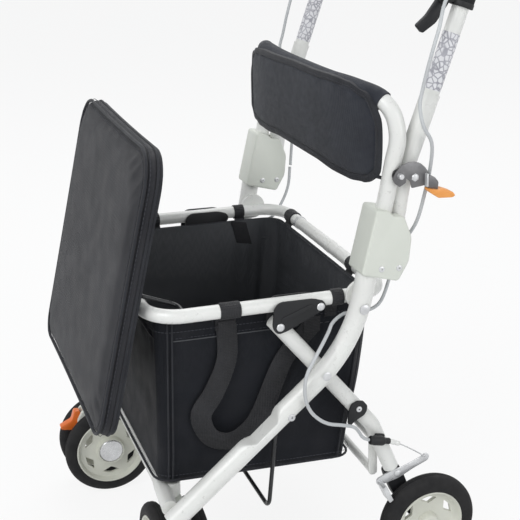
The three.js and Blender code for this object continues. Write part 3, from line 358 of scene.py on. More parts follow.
def smooth_line(places, spacing=7):
    """Evenly spaced points on a soft curve through the places."""
    points = [Vector(place) for place in places]
    points = [points[0] * 2 - points[1], *points, points[-1] * 2 - points[-2]]
    fine = []
    for a, b, c, d in zip(points, points[1:], points[2:], points[3:]):
        knots = [0.0]
        for start, end in ((a, b), (b, c), (c, d)):
            knots.append(knots[-1] + max((end - start).length, 0.01) ** 0.5)
        count = max(2, round((c - b).length / 1.5))
        for step in range(count):
            t = knots[1] + (knots[2] - knots[1]) * step / count

            def blend(first, second, low, high):
                share = (t - low) / (high - low)
                return first * (1 - share) + second * share

            ab = blend(a, b, knots[0], knots[1])
            bc = blend(b, c, knots[1], knots[2])
            cd = blend(c, d, knots[2], knots[3])
            fine.append(blend(blend(ab, bc, knots[0], knots[2]), blend(bc, cd, knots[1], knots[3]),
                              knots[1], knots[2]))
    fine.append(points[-2])
    kept, walked = [fine[0]], 0.0
    for before, after in zip(fine, fine[1:]):
        walked += (after - before).length
        if walked >= spacing:
            kept.append(after)
            walked = 0.0
    if (kept[-1] - fine[-1]).length < spacing * 0.5:
        kept.pop()
    return [*kept, fine[-1]]


def across(half):
    """A line drawn on the left, carried over to the right."""
    return [*half, *[(-x, y, z) for x, y, z in half[-2::-1]]]


def drawn_line(name, lines, radius, sides=8, closed=False):
    """Round stock along one or more lines of drawing places, turned into a mesh."""
    bpy.ops.object.select_all(action="DESELECT")
    bpy.ops.curve.primitive_bezier_curve_add()
    line = bpy.context.object
    line.name = name
    line.data.splines.clear()
    line.data.dimensions = "3D"
    line.data.bevel_depth = radius * MM
    line.data.bevel_resolution = sides
    line.data.use_fill_caps = not closed
    for places in lines:
        spline = line.data.splines.new("POLY")
        spline.points.add(len(places) - 1)
        spline.use_cyclic_u = closed
        for point, place in zip(spline.points, places):
            point.co = (*at(*place), 1)
    bpy.ops.object.convert(target="MESH")
    return close_mesh(bpy.context.object)


backrest_line = smooth_line(across(BACKREST_HALF))
fit(drawn_line("backrest_bow", [backrest_line], BACKREST_RADIUS, 9), white_coat, "white_paint", "frame",
    "backrest_tube")

# Hinge housings
# A cream moulded shell on each side holds the main tube, the backrest tube and the foot of the handle.
# Its halves meet on a parting line and are drawn together by two screws; steel pins go through it.
HOUSING_OUTLINE = [(103, 473), (122, 559), (141, 555.4), (146, 548), (161, 547), (173, 518), (170.5, 485),
                   (156, 459)]
HOUSING_SIDES = (208.5, 254)
HOUSING_ROUNDING, HOUSING_EDGE = 4.2, 2.8
GROOVE_TOOLS = [("groove", (246.1, 246.9)), ("core", (245, 248))]
POCKET_SIDES = (212, 238.1)
POCKET_OUTLINE = [(138, 480), (142, 503), (149.6, 547), (151, 570), (210, 570), (210, 415), (191.6, 429.5),
                  (144.5, 466.7), (139, 471)]
HOUSING_SCREWS = [(131, 479), (156, 478)]


def drawn_outline(name, places):
    """A flat face drawn corner by corner."""
    bpy.ops.object.select_all(action="DESELECT")
    bpy.ops.mesh.primitive_plane_add(size=MM, location=places[0])
    piece = named(name)
    mesh_tool(piece)
    bpy.ops.mesh.merge(type="CENTER")
    for here, there in zip(places, places[1:]):
        bpy.ops.mesh.extrude_vertices_move(TRANSFORM_OT_translate={"value": there - here})
    bpy.ops.mesh.select_all(action="SELECT")
    bpy.ops.mesh.edge_face_add()
    return piece


def side_plate(name, outline, sides, rounding, edge=0.6, segments=4):
    """A plate or moulding with its outline seen from the side, its corners rounded and its edges eased."""
    piece = drawn_outline(name, [at(sides[0], y, z) for y, z in outline])
    if rounding:
        bpy.ops.mesh.bevel(offset=rounding * MM, segments=segments, affect="VERTICES")
    bpy.ops.mesh.select_mode(type="FACE")
    bpy.ops.mesh.select_all(action="SELECT")
    thickness = Vector((sides[1] - sides[0], 0, 0)) * MM
    bpy.ops.mesh.extrude_region_move(TRANSFORM_OT_translate={"value": thickness})
    bpy.ops.mesh.select_all(action="SELECT")
    bpy.ops.mesh.normals_make_consistent(inside=False)
    bpy.ops.mesh.select_all(action="DESELECT")
    bpy.ops.mesh.select_mode(type="EDGE")
    if edge:
        bpy.ops.mesh.edges_select_sharp(sharpness=math.radians(60))
        bpy.ops.mesh.bevel(offset=edge * MM, segments=max(2, round(edge)), affect="EDGES")
    return close_mesh(piece)


def reshape(piece, kind, **settings):
    """Adds a modifier with its settings and applies it."""
    pick(piece)
    modifier = piece.modifiers.new(kind.lower(), kind)
    for name, value in settings.items():
        setattr(modifier, name, value)
    bpy.ops.object.modifier_apply(modifier=modifier.name)


def cut_away(piece, *tools):
    """Cuts the tools out of a piece and clears them away."""
    for tool in tools:
        reshape(piece, "BOOLEAN", object=tool, solver="EXACT")
        bpy.data.objects.remove(tool)
    return close_mesh(piece)


def turned(name, profile, centre, steps=48):
    """A piece turned round a crosswise axle from its profile of radius and place across."""
    y, z = centre
    places = [at(x, y, z + radius) for radius, x in profile]
    drawn_outline(name, places)
    piece = bpy.context.object
    bpy.ops.mesh.delete(type="ONLY_FACE")
    bpy.ops.mesh.select_all(action="SELECT")
    bpy.ops.mesh.spin(steps=steps, angle=2 * math.pi, center=at(0, y, z), axis=(1, 0, 0))
    return close_mesh(piece)


def pin(name, radius, low, high, centre, steps=24):
    """A plain round pin, or the tool for its hole, from one place across to another."""
    return turned(name, [(0, low), (radius, low), (radius, high), (0, high)], centre, steps)


def screw_head(name, centre, face_x, radius, rise, out=1):
    """A domed head with a driver's recess, standing out of a face."""
    profile = [(0, -0.6), (radius * 0.22, -0.6), (radius * 0.3, rise * 0.9), (radius * 0.62, rise),
               (radius * 0.92, rise * 0.6), (radius, 0.1), (radius, -0.8), (0, -0.8)]
    return turned(name, [(r, face_x + out * x) for r, x in profile], centre, 24)


cream_shell = surface("cream_moulding", (0.72, 0.745, 0.68), (0.66, 0.685, 0.62), 0.42, grain=520,
                      depth=0.05)
zinc = surface("zinc_plate", (0.68, 0.69, 0.7), (0.57, 0.575, 0.585), 0.34, grain=800, depth=0.03,
               metallic=0.5, patch=60)
housing = side_plate("housing_shell_left", HOUSING_OUTLINE, HOUSING_SIDES, HOUSING_ROUNDING, HOUSING_EDGE,
                     5)
pocket = side_plate("pocket_tool", POCKET_OUTLINE, POCKET_SIDES, 1.5, 0)
cut_away(housing, pocket)
groove, core = (side_plate(f"{name}_tool", HOUSING_OUTLINE, sides, HOUSING_ROUNDING, 0, 5) for name,
                sides in GROOVE_TOOLS)
for tool, growth in ((groove, (1, 1.03, 1.03)), (core, (1, 0.975, 0.985))):
    mesh_tool(tool)
    bpy.ops.transform.resize(value=growth, center_override=at(246.5, 139, 509))
    bpy.ops.object.mode_set(mode="OBJECT")
cut_away(groove, core)
cut_away(housing, groove)
fit_pair(housing, cream_shell, "cream_plastic", "frame", "hinge_housing_left")
for count, (y, z) in enumerate(HOUSING_SCREWS):
    for face_x, out, face in ((HOUSING_SIDES[1], 1, "outer"), (HOUSING_SIDES[0], -1, "inner")):
        head = screw_head(f"housing_screw_{face}_{count}_left", (y, z), face_x, 4.2, 1.5, out)
        fit_pair(head, zinc, "zinc_steel", "frame")

# Backrest pad
# A grey-black padded cloth hangs from the backrest tube by a sewn sleeve, with a line of stitching round it.
# Two black tapes tie its lower corners to the tube.
PAD_PLACES = [0, 70, 130, 172, 205, 226]
PAD_MIDDLE = [113.5, 113.5, 115, 118, 121.5, 123.7]
PAD_BOTTOM = [585, 585, 581, 580, 583, 592]
PAD_TOP = [711, 711, 712, 710, 702, 682]
PAD_SLUMP, PAD_TURN, PAD_LEAN = 9, 8, 9
PAD_END = 233
PAD_HALF = 6.2
PAD_CAP = 6 * MM
PAD_PRESSURE = 3.0
PAD_SLEEVE_RADIUS = 13
BORDER, BORDER_THICK = 9, 7.4


def table_at(places, values, here):
    """Reads a value off a table of places, softly between them."""
    here = abs(here)
    for (low, first), (high, second) in zip(zip(places, values), zip(places[1:], values[1:])):
        if here <= high:
            share = (here - low) / (high - low)
            return first + (second - first) * share * share * (3 - 2 * share)
    return values[-1]


def fine_block(name, cuts):
    """A block from -1 to 1 each way, cut fine enough to be shaped point by point."""
    bpy.ops.object.select_all(action="DESELECT")
    bpy.ops.mesh.primitive_cube_add(size=2)
    piece = named(name)
    mesh_tool(piece)
    bpy.ops.mesh.subdivide(number_cuts=cuts)
    bpy.ops.object.mode_set(mode="OBJECT")
    return piece


def swell(piece, held, cap, frames, weight, **settings):
    """Runs a piece as cloth blown up from inside, held where it is sewn, no point moving past the cap."""
    rest = [corner.co.copy() for corner in piece.data.vertices]
    sewn = piece.vertex_groups.new(name="sewn")
    sewn.add([corner.index for corner in piece.data.vertices if held(corner.co)], 1.0, "REPLACE")
    cloth = piece.modifiers.new("cloth", "CLOTH")
    cloth.settings.vertex_group_mass = "sewn"
    cloth.settings.use_pressure = True
    cloth.settings.effector_weights.gravity = weight
    for name, value in settings.items():
        setattr(cloth.settings, name, value)
    cloth.collision_settings.use_collision = False
    cloth.point_cache.frame_start, cloth.point_cache.frame_end = 1, frames
    for step in range(1, frames + 1):
        bpy.context.scene.frame_set(step)
    pick(piece)
    bpy.ops.object.modifier_apply(modifier=cloth.name)
    bpy.context.scene.frame_set(1)
    for corner, start in zip(piece.data.vertices, rest):
        moved = corner.co - start
        if moved.length > cap:
            corner.co = start + moved * (cap / moved.length)


def puffed(piece, pressure, cap, held, voxel=4.5):
    """Lets a sewn cover swell from inside, held where it is sewn down, each point kept near its place."""
    pick(piece)
    piece.data.remesh_voxel_size = voxel * MM
    bpy.ops.object.voxel_remesh()
    swell(piece, held, cap, 20, 0, quality=4, uniform_pressure_force=pressure, bending_stiffness=0.4,
          tension_stiffness=12, compression_stiffness=12, shear_stiffness=12)


def pad_face(x, share):
    """How far back the pad's middle lies, at a share of its height: its top comes forward over the tube."""
    return table_at(PAD_PLACES, PAD_MIDDLE, x) - PAD_LEAN * share * (1 - (abs(x) / PAD_END) ** 4)


def pad_place(u, w, inset=0.0, out=0.0):
    """A drawing place on the pad, -1 to 1 across and up it, set in from its edge and out of its middle."""
    x = (PAD_END - inset) * u
    low, high = table_at(PAD_PLACES, PAD_BOTTOM, x), table_at(PAD_PLACES, PAD_TOP, x)
    end_pull = max(0.0, (abs(u) - 0.93) / 0.07) ** 3
    low, high = low + inset + 7 * end_pull, high - inset - 12 * end_pull - PAD_SLUMP * max(0.0, -u)
    z = (low + high) / 2 + (high - low) / 2 * w
    return Vector((x, pad_face(x, (w + 1) / 2) + PAD_TURN * max(0.0, u) ** 3 + out, z))


pad_cloth = surface("pad_cloth", (0.03, 0.034, 0.045), (0.021, 0.024, 0.033), 0.8, grain=700, depth=0.12,
                    patch=26, weave=0.9, sheen=0.1, gloss=0.32)
pad = fine_block("backrest_cushion", 31)
for corner in pad.data.vertices:
    u, v, w = corner.co
    edge = max(abs(u), abs(w)) ** 12
    corner.co = at(*pad_place(u, w, BORDER - 1.5, v * PAD_HALF * (1 - 0.6 * edge)))
close_mesh(pad, 80)


def at_pad_rim(place):
    x = place.x / MM
    low, high = table_at(PAD_PLACES, PAD_BOTTOM, x), table_at(PAD_PLACES, PAD_TOP, x)
    return min(place.z / MM - low, high - place.z / MM, PAD_END - abs(x)) < BORDER + 5


puffed(pad, PAD_PRESSURE, PAD_CAP, at_pad_rim)
reshape(pad, "SMOOTH", iterations=3)
bpy.ops.object.shade_smooth()
fit(pad, pad_cloth, "pad_fabric", "frame", "backrest_pad")
sleeve_line = [place for place in backrest_line if abs(place.x) < 221]
fit(drawn_line("backrest_sleeve", [sleeve_line], PAD_SLEEVE_RADIUS, 9), pad_cloth, "pad_fabric", "frame")


def pad_rim(inset, out, spacing=4):
    """Points round the pad, a given way in from its edge and out from its middle."""
    ways = [step / 40 - 1 for step in range(81)]
    rim = [pad_place(u, -1, inset, out) for u in ways] + [pad_place(u, 1, inset, out) for u in ways[::-1]]
    return smooth_line([*rim, rim[0]], spacing)


def stitch_row(name, line, step=5.0, length=3.2, thick=0.45):
    """Short threads along a line of drawing places."""
    threads, walked = [], 0.0
    for before, after in zip(line, line[1:]):
        run = (after - before).length
        while walked < run:
            start = before.lerp(after, walked / run)
            threads.append([start, start + (after - before).normalized() * length])
            walked += step
        walked -= run
    return drawn_line(name, threads, thick, 1)


def tape(name, stations, width, thick, closed=False):
    """A flat woven tape: each station is a place, the way across it and the way out of its face."""
    mesh = bpy.data.meshes.new(name)
    piece = bpy.data.objects.new(name, mesh)
    bpy.context.scene.collection.objects.link(piece)
    made = bmesh.new()
    rings = []
    for place, side, out in stations:
        side, out = side.normalized() * width / 2, out.normalized() * thick / 2
        places = [place - side - out, place + side - out, place + side + out, place - side + out]
        rings.append([made.verts.new(at(*corner)) for corner in places])
    for ring, following in zip(rings, [*rings[1:], rings[0]] if closed else rings[1:]):
        for turn in range(4):
            made.faces.new((ring[turn], ring[(turn + 1) % 4], following[(turn + 1) % 4], following[turn]))
    if not closed:
        made.faces.new(rings[0][::-1])
        made.faces.new(rings[-1])
    made.to_mesh(mesh)
    made.free()
    reshape(piece, "BEVEL", width=thick * 0.35 * MM, segments=2, limit_method="ANGLE")
    return close_mesh(piece)


# A stiff stitched border is sewn all the way round the pad, and a strip ties each lower corner to the tube.
thread = surface("black_thread", (0.05, 0.053, 0.064), (0.036, 0.038, 0.047), 0.6, grain=1500, depth=0.05,
                 gloss=0.3)
binding = surface("binding_tape", (0.017, 0.018, 0.023), (0.024, 0.026, 0.032), 0.7, grain=900, depth=0.1,
                  weave=1.1, patch=30, sheen=0.08, gloss=0.3)
rim_line = pad_rim(BORDER / 2, 0)[:-1]
border_stations = []
for before, place, after in zip([rim_line[-1], *rim_line], rim_line, [*rim_line[1:], rim_line[0]]):
    border_stations.append((place, (after - before).cross(Vector((0, -1, 0))), Vector((0, -1, 0))))
fit(tape("backrest_border", border_stations, BORDER, BORDER_THICK, closed=True), binding, "pad_fabric",
    "frame")
for face, out in (("front", -3.9), ("rear", 3.9)):
    fit(stitch_row(f"backrest_stitches_{face}", pad_rim(BORDER - 3, out)), thread, "pad_fabric", "frame")
tie = [(231, 124, 598), (230.5, 129, 597), (230, 134, 595.5), (230.5, 138, 594)]
tie_stations = [(Vector(place), Vector((0, 0, 1)), Vector((1, 0, 0))) for place in tie]
fit_pair(tape("backrest_tie_left", tie_stations, 5, 1.4), binding, "pad_fabric", "frame")

# Pivot bolts
# Zinc-plated bolts with domed heads and nuts hold the seat frame and the rear legs to the main tubes.
# The handle pin shows as a steel head on each face of the housing.
SEAT_PIVOT = (111, 424)
SCISSOR_PIVOT = (60, 336)
HANDLE_PIVOT = (155, 480)
head_face = MAIN_X + MAIN_RADIUS + 0.3


def bolt_profile(inner, face, head_radius, stem=4, head=2.8):
    return [(0, inner), (stem - 0.5, inner), (stem, inner + 0.5), (stem, face), (head_radius - 0.3, face),
            (head_radius, face + 0.4), (head_radius - 0.5, face + head * 0.55),
            (head_radius * 0.62, face + head * 0.93), (head_radius * 0.3, face + head), (0, face + head)]


seat_bolt = turned("seat_bolt_left", bolt_profile(217.8, head_face, 7.2), SEAT_PIVOT, 32)
fit_pair(seat_bolt, zinc, "zinc_steel", "frame", "seat_pivot_bolt_left")
scissor_profile = [(0, 194.9), (3, 194.9), (4, 195.2), (6.6, 195.2), (7, 195.7), (7, 197.4), (6.6, 197.7),
                   (4, 197.7)]
scissor_bolt = turned("scissor_axle_left",
                      scissor_profile + bolt_profile(197.8, head_face, 6.2, 4, 1.3)[3:], SCISSOR_PIVOT, 32)
fit_pair(scissor_bolt, zinc, "zinc_steel", "frame", "scissor_bolt_left")

# Bag support wire
# A bent steel wire, painted black, runs under the bag from one main tube to the other.
# Its ends are riveted through the tubes, and the heads show on their outer faces.
SUPPORT_RADIUS, SUPPORT_BEND = 3, 14
SUPPORT_HALF = [at(220.7, 11, 284), at(197, 11, 284), at(197, -2, 122)]
black_wire = surface("black_wire", (0.02, 0.021, 0.023), (0.034, 0.035, 0.038), 0.3, grain=700, depth=0.02,
                     patch=40, metallic=0.3)
support = bent_tube("under_bag_wire", both_sides(SUPPORT_HALF), SUPPORT_RADIUS, [SUPPORT_BEND] * 4, 16, 6)
fit(support, black_wire, "zinc_steel", "frame", "bag_support_wire")
wire_rivet = screw_head("wire_rivet_left", (11, 284), MAIN_X + MAIN_RADIUS - 0.3, 5.2, 1.6)
fit_pair(wire_rivet, zinc, "zinc_steel", "frame")

# Rear legs
# Straight white tubes that cross the main tubes at the scissor bolt and carry the rear wheels.
# A cross tube and a brake bar on flat struts are welded between them, and a black clip is on each leg.
REAR_X = 209
LEG_RADIUS, LEG_BEND = 11, 60
REAR_BAR_RADIUS, BRAKE_BAR_RADIUS = 9.5, 6
REAR_LINE = [(-1, 409), (146, 233), (178, 160)]
rear_leg = bent_tube("rear_leg_tube_left", [at(REAR_X, y, z) for y, z in REAR_LINE], LEG_RADIUS, [LEG_BEND])
fit_pair(rear_leg, white_coat, "white_paint", "rear_legs", "rear_leg_left")
rear_bar = bent_tube("rear_bar", both_sides([at(197.7, 156.5, 207)]), REAR_BAR_RADIUS, [])
fit(rear_bar, white_coat, "white_paint", "rear_legs", "rear_cross_frame")
brake_bar = bent_tube("brake_bar", both_sides([at(195, 157, 150)]), BRAKE_BAR_RADIUS, [], 24)
fit(brake_bar, white_coat, "white_paint", "rear_legs")
strut = side_plate("brake_strut_left",
                   [(148.5, 203), (151, 206.5), (159, 206.5), (161.5, 203), (163.5, 147), (160, 143.5),
                    (154, 143.5), (150.5, 147)], (193.8, 196.6), 2)
fit_pair(strut, white_coat, "white_paint", "rear_legs")
black_moulding = surface("black_moulding", (0.012, 0.0125, 0.014), (0.02, 0.021, 0.023), 0.5, grain=600,
                         depth=0.05, patch=14, gloss=0.3)
clip_outline = [(131.5, 262), (132, 270), (126, 277.5), (117, 279), (108.5, 275), (105, 267), (104, 254),
                (103.5, 246), (108, 243.5), (113, 248), (121, 252.5), (127.5, 256)]
leg_clip = side_plate("leg_clip_left", clip_outline, (220.2, 223.4), 1.8, 0.6)
fit_pair(leg_clip, black_moulding, "black_plastic", "rear_legs")
fit_pair(screw_head("clip_screw_left", (119.5, 266.5), 223.4, 4.2, 1.4), zinc, "zinc_steel", "rear_legs")

# Wheel brackets and brakes
# A black moulded arm at the foot of each rear leg carries the axle; a zinc brake arm rocks on a pin in it.
# The arm ends in a shoe over the tyre, and a black adjuster on the leg stops the cable's sleeve.
BRACKET_OUTLINE = [(167.3, 154.9), (188.5, 164.1), (198, 146), (205, 129), (243, 80), (241, 63), (226, 59),
                   (216, 68), (183, 115), (173, 137)]
BRAKE_OUTLINE = [(154, 147), (154, 138), (162, 137), (188, 143), (212, 155), (234, 164), (236, 171),
                 (230, 176), (222, 170), (192, 159), (180, 158)]
SHOE_OUTLINE = [(154.4, 142.4), (160.2, 145.2), (171.9, 120.8), (166.4, 117.1)]
BRAKE_PIVOT = (186, 151)
BRACKET_SIDES, BRAKE_SIDES, SHOE_SIDES = (197, 212), (213.4, 216.4), (213.4, 236)
bracket = side_plate("wheel_arm_left", BRACKET_OUTLINE, BRACKET_SIDES, 5, 1.6)
fit_pair(bracket, black_moulding, "black_plastic", "rear_legs", "wheel_bracket_left")
rear_axle = turned("rear_axle_left", [(0, 211), (5, 211), (5, 240.6), (4.6, 241), (0, 241)], (230, 73), 24)
fit_pair(rear_axle, zinc, "zinc_steel", "rear_legs")
brake_pin = turned("brake_pin_left", bolt_profile(211, 216.7, 5.5, 3, 2), BRAKE_PIVOT, 24)
fit_pair(brake_pin, zinc, "zinc_steel", "rear_legs")
brake_plate = side_plate("brake_rocker_left", BRAKE_OUTLINE, BRAKE_SIDES, 3, 0.5)
pin_room = pin("pin_tool", 3.4, 210, 220, BRAKE_PIVOT)
cut_away(brake_plate, pin_room)
fit_pair(brake_plate, zinc, "zinc_steel", "brake_arm_left", "brake_arm_left")
shoe = side_plate("brake_shoe_left", SHOE_OUTLINE, SHOE_SIDES, 1, 0.7)
fit_pair(shoe, zinc, "zinc_steel", "brake_arm_left")


def across_rod(name, start, end, profile, steps=32):
    """A turned piece along any line: profile is radius and share of the way."""
    length = (end - start).length / MM
    piece = turned(name, [(radius, share * length) for radius, share in profile], (-DRAWING_SHIFT, 0),
                   steps)
    lean = (end - start).to_track_quat("X", "Z").to_matrix().to_4x4()
    piece.data.transform(Matrix.Translation(start) @ lean)
    return close_mesh(piece)


stop_profile = [(0, 0), (5.6, 0), (6.2, 0.03), (6.2, 0.16), (7, 0.2), (7, 0.62), (6.3, 0.68), (5.2, 0.74),
                (4.5, 0.76), (4.5, 0.97), (4, 1), (0, 1)]
cable_stop = across_rod("cable_stop_left", at(228.6, 135, 219), at(228.6, 165, 212.4), stop_profile)
fit_pair(cable_stop, black_moulding, "black_plastic", "rear_legs", "cable_adjuster_left")
stop_plate = side_plate("cable_stop_plate_left", [(143, 213), (146, 224), (160, 221), (158, 209)],
                        (220.3, 224), 1.5, 0.5)
fit_pair(stop_plate, black_moulding, "black_plastic", "rear_legs")
barrel_profile = [(0, 0), (3.1, 0), (3.6, 0.06), (3.6, 0.5), (3.0, 0.55), (3.0, 0.62), (3.4, 0.66),
                  (3.4, 0.94), (2.6, 1), (0, 1)]
barrel = across_rod("cable_barrel_left", at(228.6, 164, 212.6), at(227.4, 181, 205), barrel_profile, 24)
fit_pair(barrel, white_coat, "cream_plastic", "rear_legs")
inner_wire = smooth_line([(227.4, 180, 205.6), (225.5, 193, 197), (222, 207, 187), (219.4, 219, 178),
                          (218.9, 227, 172)], 3)
fit_pair(drawn_line("brake_wire_left", [inner_wire], 0.9, 3), zinc, "black_wire", "rear_legs")

# Rear wheels
# A black rubber tyre with two fine grooves is fitted on a cream moulded rim with six slim windows.
# The boss of the rim is closed on the outside and hides the end of the axle.
REAR_CENTRE = (230, 73)
REAR_WINDOWS = (28.5, 38.5)
WINDOW_NARROW, WINDOW_ROUNDING = 0.17, 1.8
REAR_RIM = [(0, 243.4), (9.5, 243.3), (12, 242.6), (13.4, 241), (14.4, 236), (15.6, 231.4), (18, 231),
            (39, 231), (43, 232), (46, 235.4), (47.6, 240), (49.4, 241.8), (50.5, 241), (50.5, 215),
            (49.4, 214.2), (47.6, 216), (46, 220.6), (43, 224), (39, 225), (18, 225), (15.6, 224.6),
            (14.4, 220), (13.4, 215), (12, 214.4), (5.5, 214.4), (5.5, 241.3), (0, 241.3)]
REAR_TYRE = [(50.9, 215.6), (54, 214.7), (60, 214.2), (65, 214.8), (69, 217), (71.6, 220.4), (72.7, 223.4),
             (73, 225.6), (72.2, 226), (72.2, 227), (73, 227.4), (73, 228.6), (72.2, 229), (72.2, 230),
             (73, 230.4), (72.7, 232.6), (71.6, 235.6), (69, 239), (65, 241.2), (60, 241.8), (54, 241.3),
             (50.9, 240.4), (50.9, 215.6)]


def cut_windows(rim, centre, reach, sides, count=6):
    """Cuts a ring of slim rounded windows between the spokes."""
    inner, outer = reach
    for window in range(count):
        def corner(radius, share):
            angle = 2 * math.pi * (window + share) / count
            return centre[0] + radius * math.cos(angle), centre[1] + radius * math.sin(angle)

        outline = [corner(inner, 0.5), corner(outer, WINDOW_NARROW), corner(outer * 1.045, 0.5),
                   corner(outer, 1 - WINDOW_NARROW)]
        cut_away(rim, side_plate("window_tool", outline, sides, WINDOW_ROUNDING, 0))


cream_rim = surface("cream_rim", (0.66, 0.665, 0.59), (0.59, 0.595, 0.52), 0.45, grain=520, depth=0.05,
                    patch=12)
rubber = surface("tyre_rubber", (0.011, 0.011, 0.012), (0.019, 0.0185, 0.019), 0.78, grain=900, depth=0.12,
                 patch=34, gloss=0.3)
rear_rim = turned("rear_wheel_disc_left", REAR_RIM, REAR_CENTRE, 72)
cut_windows(rear_rim, REAR_CENTRE, REAR_WINDOWS, (212, 244))
fit_pair(rear_rim, cream_rim, "cream_plastic", "rear_wheel_left", "rear_rim_left")
rear_tyre = turned("rear_wheel_tyre_left", REAR_TYRE, REAR_CENTRE, 96)
fit_pair(rear_tyre, rubber, "tyre_rubber", "rear_wheel_left", "rear_tyre_left")

# Casters
# Each front caster is a cream moulded fork on a steel stem, with a wheel on both sides of it.
# The wheels have slim slots, a silver hub cap in a cream ring, and an orange foot lock hinges on the fork.
CASTER_X, STEM_Y = 162, -134
CASTER_TURN = 90
CASTER_WINDOWS = (32.5, 42)
FORK_HALF, LOCK_ROOM_HALF = 13.4, 7.4
CASTER_AXLE = (-158, 73)
FORK_OUTLINE = [(-118, 142), (-118, 149.6), (-150, 149.6), (-198, 138), (-206, 122), (-203, 104),
                (-176, 96), (-170, 62), (-158, 56), (-146, 62), (-140, 96)]
LOCK_PIVOT = (-203, 112)
LOCK_OUTLINE = [(-197.5, 118), (-197.5, 106), (-205, 104), (-231, 108), (-233, 113), (-214, 122),
                (-209, 138), (-200, 137)]
CASTER_RIM = [(0, 20.6), (19.4, 20.8), (19.8, 22.8), (21.2, 22.9), (22, 20.6), (22.8, 14), (24.6, 13.4),
              (46, 13.4), (49.6, 14.4), (51.6, 18.4), (53, 21.2), (54.6, 21.8), (55.5, 21), (55.5, 1),
              (54.6, 0.2), (53, 0.8), (51.6, 3.6), (49.6, 7.6), (46, 8.6), (24.4, 8.6), (22.6, 8),
              (22, 0.6), (5.5, 0.5), (5.5, 19.2), (0, 19.2)]
CASTER_TYRE = [(55.9, 1.3), (59, 0.4), (64, 0.3), (68.5, 1.8), (71.4, 4.6), (72.7, 7.6), (73, 9.6),
               (72.3, 10), (72.3, 12), (73, 12.4), (72.7, 14.4), (71.4, 17.4), (68.5, 20.2), (64, 21.7),
               (59, 21.6), (55.9, 20.7), (55.9, 1.3)]


def fit_casters(piece, finish, slot, body, *nodes):
    """The same for a caster's piece: the left one stands turned a quarter round its stem."""
    fit(twin(piece), finish, slot, body.replace("left", "right"),
        *[node.replace("left", "right") for node in nodes])
    stem_place = Matrix.Translation(at(CASTER_X, STEM_Y, 0))
    piece.data.transform(stem_place @ Matrix.Rotation(math.radians(CASTER_TURN), 4,
                                                      "Z") @ stem_place.inverted())
    fit(piece, finish, slot, body, *nodes)


silver_cap = surface("brushed_cap", (0.62, 0.63, 0.64), (0.5, 0.505, 0.515), 0.26, grain=300, depth=0.04,
                     metallic=0.9, patch=40)
orange_moulding = surface("orange_moulding", (0.86, 0.2, 0.025), (0.76, 0.16, 0.02), 0.38, grain=500,
                          depth=0.04, patch=20)
fork = side_plate("caster_body_left", FORK_OUTLINE, (CASTER_X - FORK_HALF, CASTER_X + FORK_HALF), 3.4, 1.6)
lock_room = side_plate("lock_tool", [(-232, 97), (-232, 152), (-196, 152), (-196, 97)],
                       (CASTER_X - LOCK_ROOM_HALF, CASTER_X + LOCK_ROOM_HALF), 0, 0)
cut_away(fork, lock_room)
fit_casters(fork, cream_shell, "cream_plastic", "caster_left", "caster_fork_left")
stem = bent_tube("caster_stem_left", [at(CASTER_X, STEM_Y, z) for z in (147, 170)], 7, [], 24)
fit_casters(stem, zinc, "zinc_steel", "caster_left")
caster_axle = pin("caster_axle_left", 5, 128, 196, CASTER_AXLE)
fit_casters(caster_axle, zinc, "zinc_steel", "caster_left")
lock_pin = pin("caster_lock_pin_left", 2.4, 153, 171, LOCK_PIVOT, 20)
fit_casters(lock_pin, zinc, "zinc_steel", "caster_left")
lock = side_plate("caster_lock_pedal_left", LOCK_OUTLINE, (155, 169), 2.4, 1.2)
cut_away(lock, pin("pin_tool", 2.9, 150, 174, LOCK_PIVOT, 20))
fit_casters(lock, orange_moulding, "orange_plastic", "caster_lock_left", "caster_lock_left")
for place, start, out in (("outer", 177.5, 1), ("inner", 146.5, -1)):
    rim = turned(f"caster_disc_{place}_left", [(r, start + out * x) for r, x in CASTER_RIM], CASTER_AXLE,
                 72)
    low, high = sorted((start - out * 2, start + out * 25))
    cut_windows(rim, CASTER_AXLE, CASTER_WINDOWS, (low, high))
    fit_casters(rim, cream_rim, "cream_plastic", f"caster_wheel_{place}_left", f"caster_rim_{place}_left")
    tyre = turned(f"caster_band_{place}_left", [(r, start + out * x) for r, x in CASTER_TYRE], CASTER_AXLE,
                  96)
    fit_casters(tyre, rubber, "tyre_rubber", f"caster_wheel_{place}_left", f"caster_tyre_{place}_left")
    turned_rings = [(17.4 - 0.6 * ring, 22.8 + 0.14 * (ring % 2)) for ring in range(29)]
    cap_profile = [(0, 20.7), (19, 20.7), (19, 21.6), (18, 22.5), *turned_rings, (0, 22.9)]
    cap = turned(f"caster_cap_{place}_left", [(r, start + out * x) for r, x in cap_profile], CASTER_AXLE,
                 48)
    fit_casters(cap, silver_cap, "zinc_steel", f"caster_wheel_{place}_left")

# Seat frame
# A white steel tube is bent into a rounded rectangle, and its ends meet behind in a short sleeve.
# A flat round lug is welded on each side and takes the seat bolt.
SEAT_X, SEAT_Z, SEAT_FRONT, SEAT_BACK = 208, 430, -165, 162
SEAT_RADIUS, SEAT_BEND = 9.5, 45
seat_loop = [(12.5, SEAT_BACK), (SEAT_X, SEAT_BACK), (SEAT_X, SEAT_FRONT), (-SEAT_X, SEAT_FRONT),
             (-SEAT_X, SEAT_BACK), (12, SEAT_BACK)]
seat_ring = bent_tube("seat_ring", [at(x, y, SEAT_Z) for x, y in seat_loop], SEAT_RADIUS, [SEAT_BEND] * 4)
fit(seat_ring, white_coat, "white_paint", "seat_frame", "seat_tube")
lug = turned("seat_lug_left",
             [(4.4, 216), (19.4, 216), (20, 216.6), (20, 220), (19.4, 220.6), (4.4, 220.6), (4.4, 216)],
             (117, 434), 48)
fit_pair(lug, white_coat, "white_paint", "seat_frame")
